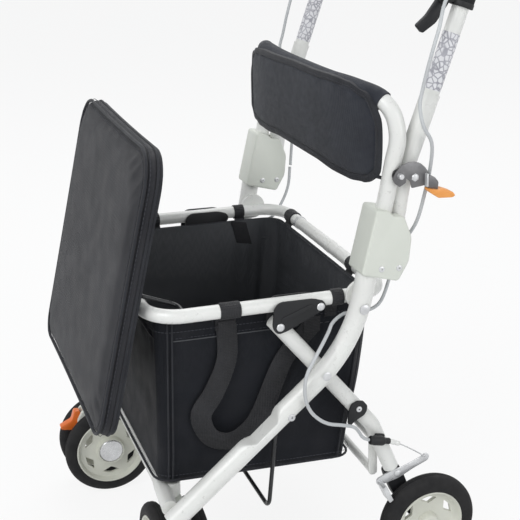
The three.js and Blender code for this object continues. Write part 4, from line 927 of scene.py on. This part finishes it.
seam_sleeve = bent_tube("seat_seam_band", [at(6, SEAT_BACK, SEAT_Z), at(18.5, SEAT_BACK, SEAT_Z)], 9.9, [])
fit(seam_sleeve, white_coat, "white_paint", "seat_frame")
fit(bent_tube("seat_grey_ring", [at(-118, SEAT_BACK, SEAT_Z), at(-112, SEAT_BACK, SEAT_Z)], 10.6, []), zinc,
    "zinc_steel", "seat_frame")

# Fold links
# Two black pressed plates on each side join the seat frame to the top of the rear leg.
# The outer one has a raised rib, and riveted pins hold them at both ends.
LINK_TOP, LINK_FOOT = (60, 425), (4, 403)
LINK_OUTLINE = [(-7, 403), (-5, 430), (3, 438), (50, 437.5), (66, 432), (68, 421), (57, 416.5), (13, 396),
                (0, 393)]
for place, sides in (("outer", (220.4, 223.4)), ("inner", (194.9, 197.6))):
    link = side_plate(f"link_plate_{place}_left", LINK_OUTLINE, sides, 5, 0.7)
    nodes = ("fold_link_left",) if place == "outer" else ()
    fit_pair(link, black_moulding, "black_plastic", "fold_links", *nodes)
rib = side_plate("link_rib_left", [(6, 408), (5, 416), (46, 431), (50, 426)], (222.4, 224.6), 2.4, 1)
fit_pair(rib, black_moulding, "black_plastic", "fold_links")
for name, (y, z) in (("top", LINK_TOP), ("foot", LINK_FOOT)):
    head = turned(f"link_rivet_{name}_left", bolt_profile(222.4, 223.4, 5.5, 3, 2), (y, z), 28)
    fit_pair(head, zinc, "zinc_steel", "fold_links")
link_pin = pin("link_pin_left", 3, 196, 222, LINK_TOP, 20)
fit_pair(link_pin, zinc, "zinc_steel", "fold_links")

# Bag
# A deep black cloth bag, sewn from panels with a double seam down each corner and a hemmed top edge.
# Webbing loops hold it to the seat frame, and a webbing carry handle hangs in a twist on each side.
BAG_RINGS = [(177, 181, -155, 121), (183, 185.5, -158, 127), (222, 187.5, -157, 131),
             (330, 189.5, -156, 141), (420, 191, -155, 150)]
BAG_CORNER = 25
CARRY_WIDTH, CARRY_THICK = 28, 1.8
HANGING_WIDTH, TAB_THICK = 27, 1.6
BAG_DROP, BAG_FILL = 9, 8
BAG_WALL = 1.6
bag_low, bag_high = BAG_RINGS[0][0], BAG_RINGS[-1][0]
BAG_CAP = 4 * MM
BAG_HELD_ABOVE = 412 * MM
bag_cloth = surface("bag_cloth", (0.0062, 0.0075, 0.0118), (0.0095, 0.0115, 0.0165), 0.66, grain=420,
                    depth=0.2, patch=7, weave=1.2, sheen=0.02, gloss=0.24)
webbing = surface("black_webbing", (0.012, 0.0125, 0.015), (0.019, 0.0195, 0.023), 0.62, grain=800,
                  depth=0.3, patch=26, weave=2.2, sheen=0.06, gloss=0.35)


def bag_ring(z):
    for low, high in zip(BAG_RINGS, BAG_RINGS[1:]):
        if z <= high[0]:
            share = (z - low[0]) / (high[0] - low[0])
            return [a + (b - a) * share for a, b in zip(low[1:], high[1:])]
    return list(BAG_RINGS[-1][1:])


def sagged(x, y, z):
    """The cloth hangs lower and fuller towards its rear bottom edge than its pattern says."""
    share = max(0.0, (y + 155) / 290) ** 1.5 * (bag_high - z) / (bag_high - bag_low)
    fuller = max(0.0, (y - 60) / 80) * math.sin(math.pi * min(1, (bag_high - z) / 190))
    return x, y + BAG_FILL * fuller, z - BAG_DROP * share


bag = fine_block("bag_shell", 47)
for corner in bag.data.vertices:
    u, v, w = corner.co
    z = bag_low + (bag_high - bag_low) * (w + 1) / 2
    half, front, back = bag_ring(z)
    middle, depth = (front + back) / 2, (back - front) / 2
    x, y = u * (half - 1.2), v * (depth - 1.2)
    over_x, over_y = abs(x) - (half - BAG_CORNER), abs(y) - (depth - BAG_CORNER)
    if over_x > 0 and over_y > 0:
        pull = max(over_x, over_y) / math.hypot(over_x, over_y)
        x = math.copysign(half - BAG_CORNER + over_x * pull, x)
        y = math.copysign(depth - BAG_CORNER + over_y * pull, y)
    corner.co = at(*sagged(x, middle + y, z))
pick_faces(bag, lambda face: face.normal.z > 0.9 and face.center.z > (bag_high - 1) * MM)
bpy.ops.mesh.delete(type="FACE")
close_mesh(bag, 60)
swell(bag, lambda place: place.z > BAG_HELD_ABOVE, BAG_CAP, 24, 1, quality=5,
      uniform_pressure_force=0.35, bending_stiffness=0.2, shrink_min=-0.012)
pick(bag)
bpy.ops.object.duplicate()
lining = bpy.context.object
lining.name = "bag_lining"
reshape(lining, "DISPLACE", strength=-(BAG_WALL + 0.1) * MM, mid_level=0)
for layer, thickness in ((lining, 0.5), (bag, BAG_WALL)):
    reshape(layer, "SOLIDIFY", thickness=thickness * MM, offset=-1)
    close_mesh(layer, 60)
lining_cloth = surface("bag_coated_lining", (0.058, 0.062, 0.069), (0.08, 0.084, 0.092), 0.5, grain=420,
                       depth=0.12, patch=9, weave=1.2)
fit(bag, bag_cloth, "bag_fabric", "seat_frame", "bag")
fit(lining, lining_cloth, "bag_fabric", "seat_frame")


def bag_edge(z, grow=0.0, spacing=6):
    """A line round the bag at one height."""
    half, front, back = bag_ring(z)
    half, front, back = half + grow, front - grow, back + grow
    line = []
    for (cx, cy), start in (((half - BAG_CORNER, back - BAG_CORNER), 0),
                            ((-half + BAG_CORNER, back - BAG_CORNER), 90),
                            ((-half + BAG_CORNER, front + BAG_CORNER), 180),
                            ((half - BAG_CORNER, front + BAG_CORNER), 270)):
        for step in range(7):
            angle = math.radians(start + step * 15)
            line.append(sagged(cx + BAG_CORNER * math.cos(angle), cy + BAG_CORNER * math.sin(angle), z))
    return smooth_line([*line, line[0]], spacing)


def bag_corner_line(side_x, side_y, turn, grow):
    """A line down one corner of the bag, turned a little way round it."""
    line = []
    for step in range(13):
        z = bag_low + 6 + (bag_high - bag_low - 8) * step / 12
        half, front, back = bag_ring(z)
        cx, cy = half - BAG_CORNER, (back - BAG_CORNER if side_y > 0 else front + BAG_CORNER)
        radius = BAG_CORNER + grow
        line.append(sagged(side_x * (cx + radius * math.cos(turn)), cy + side_y * radius * math.sin(turn),
                           z))
    return smooth_line(line, 6)


for name, side_x, side_y in (("front_left", 1, -1), ("front_right", -1, -1), ("rear_left", 1, 1),
                             ("rear_right", -1, 1)):
    seam = drawn_line(f"bag_seam_{name}",
                      [bag_corner_line(side_x, side_y, turn, 0.1) for turn in (0.12, 0.36)], 1.1, 3)
    fit(seam, binding, "bag_fabric", "seat_frame")
fit(drawn_line("bag_base_piping", [bag_edge(184, 0.2)], 1.7, 4, closed=True), binding, "bag_fabric",
    "seat_frame")
fit(drawn_line("bag_hem", [bag_edge(419, -0.6)], 2.0, 4, closed=True), binding, "bag_fabric", "seat_frame")
fit(drawn_line("bag_band_fold", [bag_edge(388, -2.5)], 0.9, 3, closed=True), lining_cloth, "bag_fabric",
    "seat_frame")
fit(stitch_row("bag_band_stitches", bag_edge(391.5, -2.6)), thread, "bag_fabric", "seat_frame")
fit(stitch_row("bag_hem_stitches", bag_edge(402, 0.9)), thread, "bag_fabric", "seat_frame")
fit(stitch_row("bag_seam_stitches", bag_edge(192, 1.2)), thread, "bag_fabric", "seat_frame")


HANDLE_TAPE = [(-60, 405, 0), (-60, 355, 0), (-79, 308, 10), (-97, 278, 24), (-84, 244, 8), (-56, 234, -20),
               (-22, 252, -8), (22, 345, 0), (62, 388, 0)]
tape_line = smooth_line([(191.2, y, z) for y, z, twist in HANDLE_TAPE], 5)
stations = []
for index, place in enumerate(tape_line):
    ahead = tape_line[min(index + 1, len(tape_line) - 1)] - tape_line[max(index - 1, 0)]
    share = index / (len(tape_line) - 1) * (len(HANDLE_TAPE) - 1)
    low = min(int(share), len(HANDLE_TAPE) - 2)
    twist = HANDLE_TAPE[low][2] + (HANDLE_TAPE[low + 1][2] - HANDLE_TAPE[low][2]) * (share - low)
    out = Matrix.Rotation(math.radians(twist), 3, ahead.normalized()) @ Vector((1, 0, 0))
    lift = 1.6 * math.sin(math.pi * index / (len(tape_line) - 1))
    stations.append((place + Vector((lift, 0, 0)), ahead.cross(out), out))
carry_tape = tape("bag_carry_handle_left", stations, CARRY_WIDTH, CARRY_THICK)
fit_pair(carry_tape, webbing, "bag_fabric", "seat_frame")
for name, y, z in (("front", -60, 396), ("rear", 60, 386)):
    patch = [(y - 12, z - 9), (y - 12, z + 14), (y + 12, z + 14), (y + 12, z - 9)]
    sewn_end = side_plate(f"bag_handle_patch_{name}_left", patch, (191.2, 193.4), 1, 0.5)
    fit_pair(sewn_end, webbing, "bag_fabric", "seat_frame")
hanging = [(Vector((-186.2, 81 + 0.8 * step, 420 - 3 * step)), Vector((0, 1, -0.2)),
            Vector((1, 0, 0.02 * step))) for step in range(14)]
fit(tape("bag_hanging_tape", hanging, HANGING_WIDTH, TAB_THICK), webbing, "bag_fabric", "seat_frame")

LOOP_SIDES = [(-75, -47), (79, 96)]
LOOP_BACK = [(-160, -134), (88, 110)]


def tube_loop(name, start, end):
    """A webbing loop pulled tight round the seat tube."""
    profile = [(9.7, 0), (11.1, 0.02), (11.4, 0.1), (11.2, 0.5), (11.4, 0.9), (11.1, 0.98), (9.7, 1),
               (9.7, 0)]
    return across_rod(name, start, end, profile, 40)


for count, (low, high) in enumerate(LOOP_SIDES):
    loop = tube_loop(f"bag_loop_{count}_left", at(SEAT_X, low, SEAT_Z), at(SEAT_X, high, SEAT_Z))
    fit_pair(loop, webbing, "bag_fabric", "seat_frame")
    middle = (low + high) / 2
    ends = [(201.6, 422.2), (197, 418), (192.5, 413), (190.6, 406), (190.4, 396)]
    drop = [(Vector((x, middle, z)), Vector((0, 1, 0)), Vector((1, 0, 0.4))) for x, z in ends]
    fit_pair(tape(f"bag_loop_tab_{count}_left", drop, high - low, TAB_THICK), webbing, "bag_fabric",
             "seat_frame")
for count, (low, high) in enumerate(LOOP_BACK):
    loop = tube_loop(f"bag_loop_back_{count}", at(low, SEAT_BACK, SEAT_Z), at(high, SEAT_BACK, SEAT_Z))
    fit(loop, webbing, "bag_fabric", "seat_frame")
    middle = (low + high) / 2
    ends = [(155.6, 422.2), (152.5, 417), (149.8, 411), (149.2, 400)]
    drop = [(Vector((middle, y, z)), Vector((1, 0, 0)), Vector((0, 1, 0.3))) for y, z in ends]
    fit(tape(f"bag_loop_tab_back_{count}", drop, high - low, TAB_THICK), webbing, "bag_fabric",
        "seat_frame")

# Lid
# A stiff black board carries a foam seat cushion in black cloth, with piped edges and rows of stitches.
# Two clips on the board turn on a bent black wire whose ends turn in the seat frame.
LID_HINGE = (-170, 449)
LID_LEAN = math.radians(12.3)
LID_HALF, LID_LOW, LID_HIGH = 205, -194.5, 194.5
LID_CAP = 2.4 * MM
LID_DRAW_IN = 2.5
ARM_RADIUS, ARM_BEND = 3, 10
LID_LAYERS = [(2.0, 12.3), (0.3, 14.5), (0.0, 18), (0.6, 23), (3.0, 27.4), (8, 30.2), (18, 32.2),
              (40, 33.4), (80, 34)]


def on_lid(x, s, q):
    """A place given by its way across the lid, up it and out of its face."""
    lean_out, lean_up = math.sin(LID_LEAN), math.cos(LID_LEAN)
    return Vector((x, LID_HINGE[0] + s * lean_out - q * lean_up, LID_HINGE[1] + s * lean_up + q * lean_out))


def lid_outline(inset, q, steps=9):
    """Points round the lid, a given way in from its edge: round corners, sides a little pulled in."""
    half, low, high = LID_HALF - inset, LID_LOW + inset, LID_HIGH - inset
    round_low, round_high = max(36 - inset, 14), max(54 - inset, 14)
    line = []
    for cx, cs, radius, start in ((half - round_high, high - round_high, round_high, 0),
                                  (-half + round_high, high - round_high, round_high, 90),
                                  (-half + round_low, low + round_low, round_low, 180),
                                  (half - round_low, low + round_low, round_low, 270)):
        for step in range(steps + 1):
            angle = math.radians(start + 90 * step / steps)
            line.append((cx + radius * math.cos(angle), cs + radius * math.sin(angle)))
    middle_s, span = (low + high) / 2, (high - low) / 2
    pinched = []
    for (x, s), (next_x, next_s) in zip(line, [*line[1:], line[0]]):
        count = max(1, round(math.hypot(next_x - x, next_s - s) / 14))
        for step in range(count):
            a, b = x + (next_x - x) * step / count, s + (next_s - s) * step / count
            if abs(a) > half - 4:
                a -= math.copysign(LID_DRAW_IN * max(0, 1 - ((b - middle_s) / span) ** 2), a)
            if abs(b - middle_s) > span - 4:
                b -= math.copysign(LID_DRAW_IN * max(0, 1 - (a / half) ** 2), b - middle_s)
            pinched.append(on_lid(a, b, q))
    return pinched


def ringed(name, rings):
    """A closed body skinned over rings of equal count."""
    piece = drawn_outline(name, [at(*place) for place in rings[0]])
    bpy.ops.object.mode_set(mode="OBJECT")
    made = bmesh.new()
    made.from_mesh(piece.data)
    made.verts.ensure_lookup_table()
    before = list(made.verts)
    for ring in rings[1:]:
        after = [made.verts.new(at(*place)) for place in ring]
        for turn in range(len(ring)):
            nxt = (turn + 1) % len(ring)
            made.faces.new((before[turn], before[nxt], after[nxt], after[turn]))
        before = after
    made.faces.new(before)
    made.to_mesh(piece.data)
    made.free()
    return close_mesh(piece, 50)


board = ringed("lid_panel",
               [lid_outline(inset, q) for inset, q in ((4.5, 5), (2.6, 5.6), (2, 8), (2, 11.4), (2.4, 12))])
fit(board, binding, "black_plastic", "lid", "lid_board")
cushion = ringed("lid_seat_cushion",
                 [lid_outline(inset + 0.6, q - 0.5 if q > 14 else q) for inset, q in LID_LAYERS])


def at_board(place):
    back = (place - on_lid(0, 0, 12.3) * MM - Vector((0, DRAWING_SHIFT * MM, 0)))
    out = Vector((0, -math.cos(LID_LEAN), math.sin(LID_LEAN)))
    return back.dot(out) < 5.5 * MM


puffed(cushion, 2.5, LID_CAP, at_board)
reshape(cushion, "SMOOTH", iterations=4)
bpy.ops.object.shade_smooth()
lid_cloth = surface("lid_cloth", (0.0215, 0.0222, 0.0275), (0.015, 0.0155, 0.0195), 0.72, grain=620,
                    depth=0.15, patch=8, weave=1.0, sheen=0.1, gloss=0.32)
fit(cushion, lid_cloth, "pad_fabric", "lid", "lid_cushion")
for name, inset, q, thick in (("face", 2.8, 27.2, 2.3), ("board", 1.4, 12.2, 1.9)):
    edge_line = [Vector(place) for place in lid_outline(inset, q)]
    fit(drawn_line(f"lid_piping_{name}", [edge_line], thick, 5, closed=True), binding, "pad_fabric", "lid")
wall_line = [Vector(place) for place in lid_outline(-0.1, 22.5)]
fit(stitch_row("lid_wall_stitches", [*wall_line, wall_line[0]], 6, 3.6), thread, "pad_fabric", "lid")
face_line = [Vector(place) for place in lid_outline(9.5, 29.4)]
fit(stitch_row("lid_face_stitches", [*face_line, face_line[0]], 6, 3.6), thread, "pad_fabric", "lid")
for side in (1, -1):
    clip = turned(f"lid_clip_{'left' if side > 0 else 'right'}",
                  [(3.4, side * 114), (6.6, side * 114), (7, side * 114.5), (7, side * 125.5),
                   (6.6, side * 126), (3.4, side * 126), (3.4, side * 114)], LID_HINGE, 32)
    fit(clip, black_moulding, "black_plastic", "lid")
arm_half = [at(204, -118.2, 429), at(165, -118.2, 429), at(165, *LID_HINGE)]
lid_wire = bent_tube("lid_arm_bow", both_sides(arm_half), ARM_RADIUS, [ARM_BEND] * 4, 16, 6)
fit(lid_wire, black_wire, "black_wire", "lid_arm", "lid_arm_wire")

# Handle
# White lower tubes fold in the housings; upper tubes slide in them and end in a padded black push loop.
# A printed band, a plain pale network on grey, is wrapped round each upper tube above the joint.
HANDLE_X = 225
LOWER_RADIUS, LOWER_BORE, LOWER_BEND = 12.7, 11.4, 220
UPPER_RADIUS, BAND_RADIUS, GRIP_RADIUS = 11.1, 11.35, 15
BAND_CELLS = 150
HANDLE_FOOT, HANDLE_KNEE, HANDLE_TOP = (153.5, 470.1), (168.5, 592), (204, 697)
GRIP_BEND = [(225, 264, 857), (224, 283, 869), (221, 303, 876), (211, 320, 880.5), (192, 329, 882.5),
             (160, 331, 883), (80, 332, 883), (0, 332, 883)]
handle_run = Vector((0, HANDLE_TOP[0] - HANDLE_KNEE[0], HANDLE_TOP[1] - HANDLE_KNEE[1])).normalized()


def up_handle(distance):
    """A drawing place on the handle's line, above the top of the lower tube."""
    return Vector((HANDLE_X, *HANDLE_TOP)) + handle_run * distance


lower = bent_tube("handle_tube_lower_left",
                  [at(HANDLE_X, *place) for place in (HANDLE_FOOT, HANDLE_KNEE, HANDLE_TOP)], LOWER_RADIUS,
                  [LOWER_BEND])
bore = bent_tube("bore_tool", [at(*up_handle(-86)), at(*up_handle(9))], LOWER_BORE, [])
pin_bore = pin("pin_tool", 4.4, 200, 250, HANDLE_PIVOT)
cut_away(lower, bore, pin_bore)
fit_pair(lower, white_coat, "white_paint", "handle", "handle_lower_left")
upper = bent_tube("handle_tube_upper_left", [at(*up_handle(-85)), at(*up_handle(116))], UPPER_RADIUS, [])
fit_pair(upper, white_coat, "white_paint", "handle_top", "handle_upper_left")
pivot_pin = pin("handle_pin_left", 4, 209, 253.6, HANDLE_PIVOT)
fit_pair(pivot_pin, zinc, "zinc_steel", "frame")

band_finish = surface("speckled_band", (0.3, 0.3, 0.34), (0.4, 0.4, 0.44), 0.4, grain=500, depth=0.02,
                      patch=50, coat=0.2)
band_nodes, band_links = band_finish.node_tree.nodes, band_finish.node_tree.links
band_place = band_nodes.new("ShaderNodeTexCoord").outputs["Object"]
cells = band_nodes.new("ShaderNodeTexVoronoi")
cells.feature = "DISTANCE_TO_EDGE"
cells.inputs["Scale"].default_value = BAND_CELLS
band_links.new(band_place, cells.inputs["Vector"])
flecks = band_nodes.new("ShaderNodeMapRange")
for slot, number in zip(range(1, 5), (0.03, 0.16, 0, 1)):
    flecks.inputs[slot].default_value = number
band_links.new(cells.outputs["Distance"], flecks.inputs[0])
band_mix = band_nodes.new("ShaderNodeMix")
band_mix.data_type = "RGBA"
band_links.new(flecks.outputs[0], band_mix.inputs[0])
band_shader = band_nodes["Principled BSDF"]
band_links.new(band_shader.inputs["Base Color"].links[0].from_socket, band_mix.inputs[6])
band_mix.inputs[7].default_value = (0.78, 0.78, 0.8, 1)
band_links.new(band_mix.outputs[2], band_shader.inputs["Base Color"])
band = bent_tube("handle_band_left", [at(*up_handle(6)), at(*up_handle(80))], BAND_RADIUS, [])
fit_pair(band, band_finish, "white_paint", "handle_top")
ring = bent_tube("handle_joint_ring_left", [at(*up_handle(-3)), at(*up_handle(0.4))], 12.95, [])
fit_pair(cut_away(ring, bent_tube("bore_tool", [at(*up_handle(-9)), at(*up_handle(9))], 12.72, [])),
         white_coat, "white_paint", "handle")

foam = surface("black_foam_grip", (0.012, 0.0125, 0.0145), (0.018, 0.019, 0.021), 0.86, grain=480,
               depth=0.3, patch=16, gloss=0.3)
grip_half = [tuple(up_handle(distance)) for distance in (116.7, 134, 150)] + GRIP_BEND
grip = drawn_line("push_grip", [smooth_line(across(grip_half), 6)], GRIP_RADIUS, 9)
fit(grip, foam, "grip_foam", "handle_top", "handle_grip")
collar_profile = [(11.3, 0), (15.4, 0.04), (15.8, 0.2), (15.8, 0.8), (15.3, 1), (11.3, 1), (11.3, 0)]
collar = across_rod("grip_collar_left", at(*up_handle(113)), at(*up_handle(120)), collar_profile, 40)
fit_pair(collar, black_moulding, "grip_foam", "handle_top")

# Brake levers
# A flat black moulded lever hangs under each side of the push loop.
# It turns on a zinc pin between two moulded cheeks on the handle tube.
LEVER_OUTLINE = [(205, 826), (206, 815), (192, 796), (178, 784), (187, 774), (205, 786), (222, 810),
                 (223, 824), (220, 848), (230, 872), (252, 895), (247, 901), (221, 880), (210, 852)]
CHEEK_OUTLINE = [(206, 812), (214, 809.5), (228, 811.5), (240, 812), (247, 826), (222, 829), (208, 828)]
LEVER_PIVOT = (214, 819)
LEVER_SIDES = (221.4, 228.6)
lever = side_plate("brake_lever_left", LEVER_OUTLINE, LEVER_SIDES, 2.6, 1)
cut_away(lever, pin("pin_tool", 3.4, 218, 232, LEVER_PIVOT))
fit_pair(lever, black_moulding, "black_plastic", "hand_lever_left", "hand_lever_left")
for place, sides in (("outer", (229, 232.4)), ("inner", (217.6, 221))):
    cheek = side_plate(f"lever_cheek_{place}_left", CHEEK_OUTLINE, sides, 3, 0.8)
    fit_pair(cheek, black_moulding, "black_plastic", "handle_top")
lever_pin = turned("lever_pin_left",
                   [(0, 218), (3, 218), (3, 232.6), (4.6, 232.6), (4.2, 233.8), (0, 234.2)], LEVER_PIVOT,
                   24)
fit_pair(lever_pin, zinc, "zinc_steel", "handle_top")

# Handle latches
# A pressed zinc hook turns on a rivet on each lower handle tube and drops over a post on the backrest tube.
# An orange moulded tab on its tail is pushed up to free it.
LATCH_OUTLINE = [(155, 614), (164, 617.5), (173, 617.5), (181, 615), (188, 609), (194, 601), (189, 585.5),
                 (170, 583), (167.5, 592), (162, 597), (161.5, 591), (153, 586), (146, 591), (142.5, 597),
                 (147, 606)]
TAB_OUTLINE = [(190.5, 582.5), (191, 578.5), (204, 569.5), (224, 568.5), (228, 571), (224, 576), (211, 581),
               (203, 580.5)]
CHANNEL_OUTLINE = [(190.5, 599.5), (199, 597), (205, 590), (204.5, 579), (190.5, 583)]
LATCH_POST, LATCH_PIVOT = (152, 601), (174, 597)
LATCH_SIDES, TAB_SIDES = (250, 252), (246, 262)
FLANGE_SIDES, CHANNEL_SIDES = (246.4, 258), (246.4, 257.6)
dark_zinc = surface("dull_zinc_plate", (0.2, 0.2, 0.205), (0.15, 0.15, 0.155), 0.42, grain=800, depth=0.03,
                    metallic=0.8, patch=60)
latch = side_plate("latch_hook_left", LATCH_OUTLINE, LATCH_SIDES, 1.5, 0.4)
fit_pair(latch, dark_zinc, "zinc_steel", "latch_left", "latch_plate_left")
flange = side_plate("latch_flange_left", [(187.6, 601), (190.2, 602), (190.8, 584.6), (188.2, 584.2)],
                    FLANGE_SIDES, 0.8, 0.5)
fit_pair(flange, zinc, "zinc_steel", "latch_left")
channel = side_plate("latch_channel_left", CHANNEL_OUTLINE, CHANNEL_SIDES, 2, 0.6)
fit_pair(channel, dark_zinc, "zinc_steel", "latch_left")
latch_rivet = turned("latch_rivet_left", bolt_profile(238, 252, 5.5, 4, 2.6), LATCH_PIVOT, 6)
fit_pair(latch_rivet, zinc, "zinc_steel", "latch_left")
orange_tab = surface("pale_orange_moulding", (0.9, 0.4, 0.1), (0.82, 0.32, 0.07), 0.4, grain=500,
                     depth=0.04, patch=20)
tab = side_plate("latch_push_tab_left", TAB_OUTLINE, TAB_SIDES, 1.4, 1)
fit_pair(tab, orange_tab, "orange_plastic", "latch_left", "latch_tab_left")
post = turned("latch_post_left", [(0, 236), (3.4, 236), (3.4, 259), (2.8, 259.6), (0, 259.6)], LATCH_POST,
              24)
fit_pair(post, zinc, "zinc_steel", "frame")
bush = turned("latch_bush_left",
              [(4, 245.6), (7.6, 245.6), (8, 246.2), (8, 249.2), (7.6, 249.6), (4, 249.6), (4, 245.6)],
              LATCH_POST, 32)
fit_pair(bush, black_moulding, "black_plastic", "frame")

# Brake cables
# A steel cable in a pale grey plastic sheath runs down each side to the brake.
# Its upper run rides on the handle and its lower run on the frame, and it bends between them.
CABLE_RADIUS = 2.4
CABLE_UPPER = [(235.2, 218, 823), (238, 211, 812), (245, 204, 799), (250, 199, 785), (250, 193, 763),
               (250, 186, 736), (250, 180, 709), (252, 176, 690), (254, 181, 664), (250, 196, 640),
               (243, 200, 610), (238, 196, 570), (230, 190, 530), (214, 182, 500)]
CABLE_LOWER = [(206, 178, 499), (202, 174, 470), (205, 166, 444), (212, 148, 413), (216, 120, 407),
               (216, 97, 408), (222, 78, 400), (236, 66, 393), (250, 50, 380), (255, 38, 364),
               (256, 29, 347), (256, 26, 325), (256, 29, 305), (256, 38, 288), (255, 58, 271),
               (250, 84, 261), (241, 105, 250), (233, 116, 237), (229.5, 124, 225), (228.6, 133.6, 219.6)]
sheath = surface("cable_sheath", (0.58, 0.6, 0.61), (0.5, 0.515, 0.525), 0.48, grain=600, depth=0.03,
                 patch=18)
upper_cable = drawn_line("upper_cable_left", [smooth_line(CABLE_UPPER, 6)], CABLE_RADIUS, 5)
fit_pair(upper_cable, sheath, "cable_sheath", "handle", "brake_cable_upper_left")
lower_cable = drawn_line("lower_cable_left", [smooth_line(CABLE_LOWER, 6)], CABLE_RADIUS, 5)
fit_pair(lower_cable, sheath, "cable_sheath", "frame", "brake_cable_lower_left")
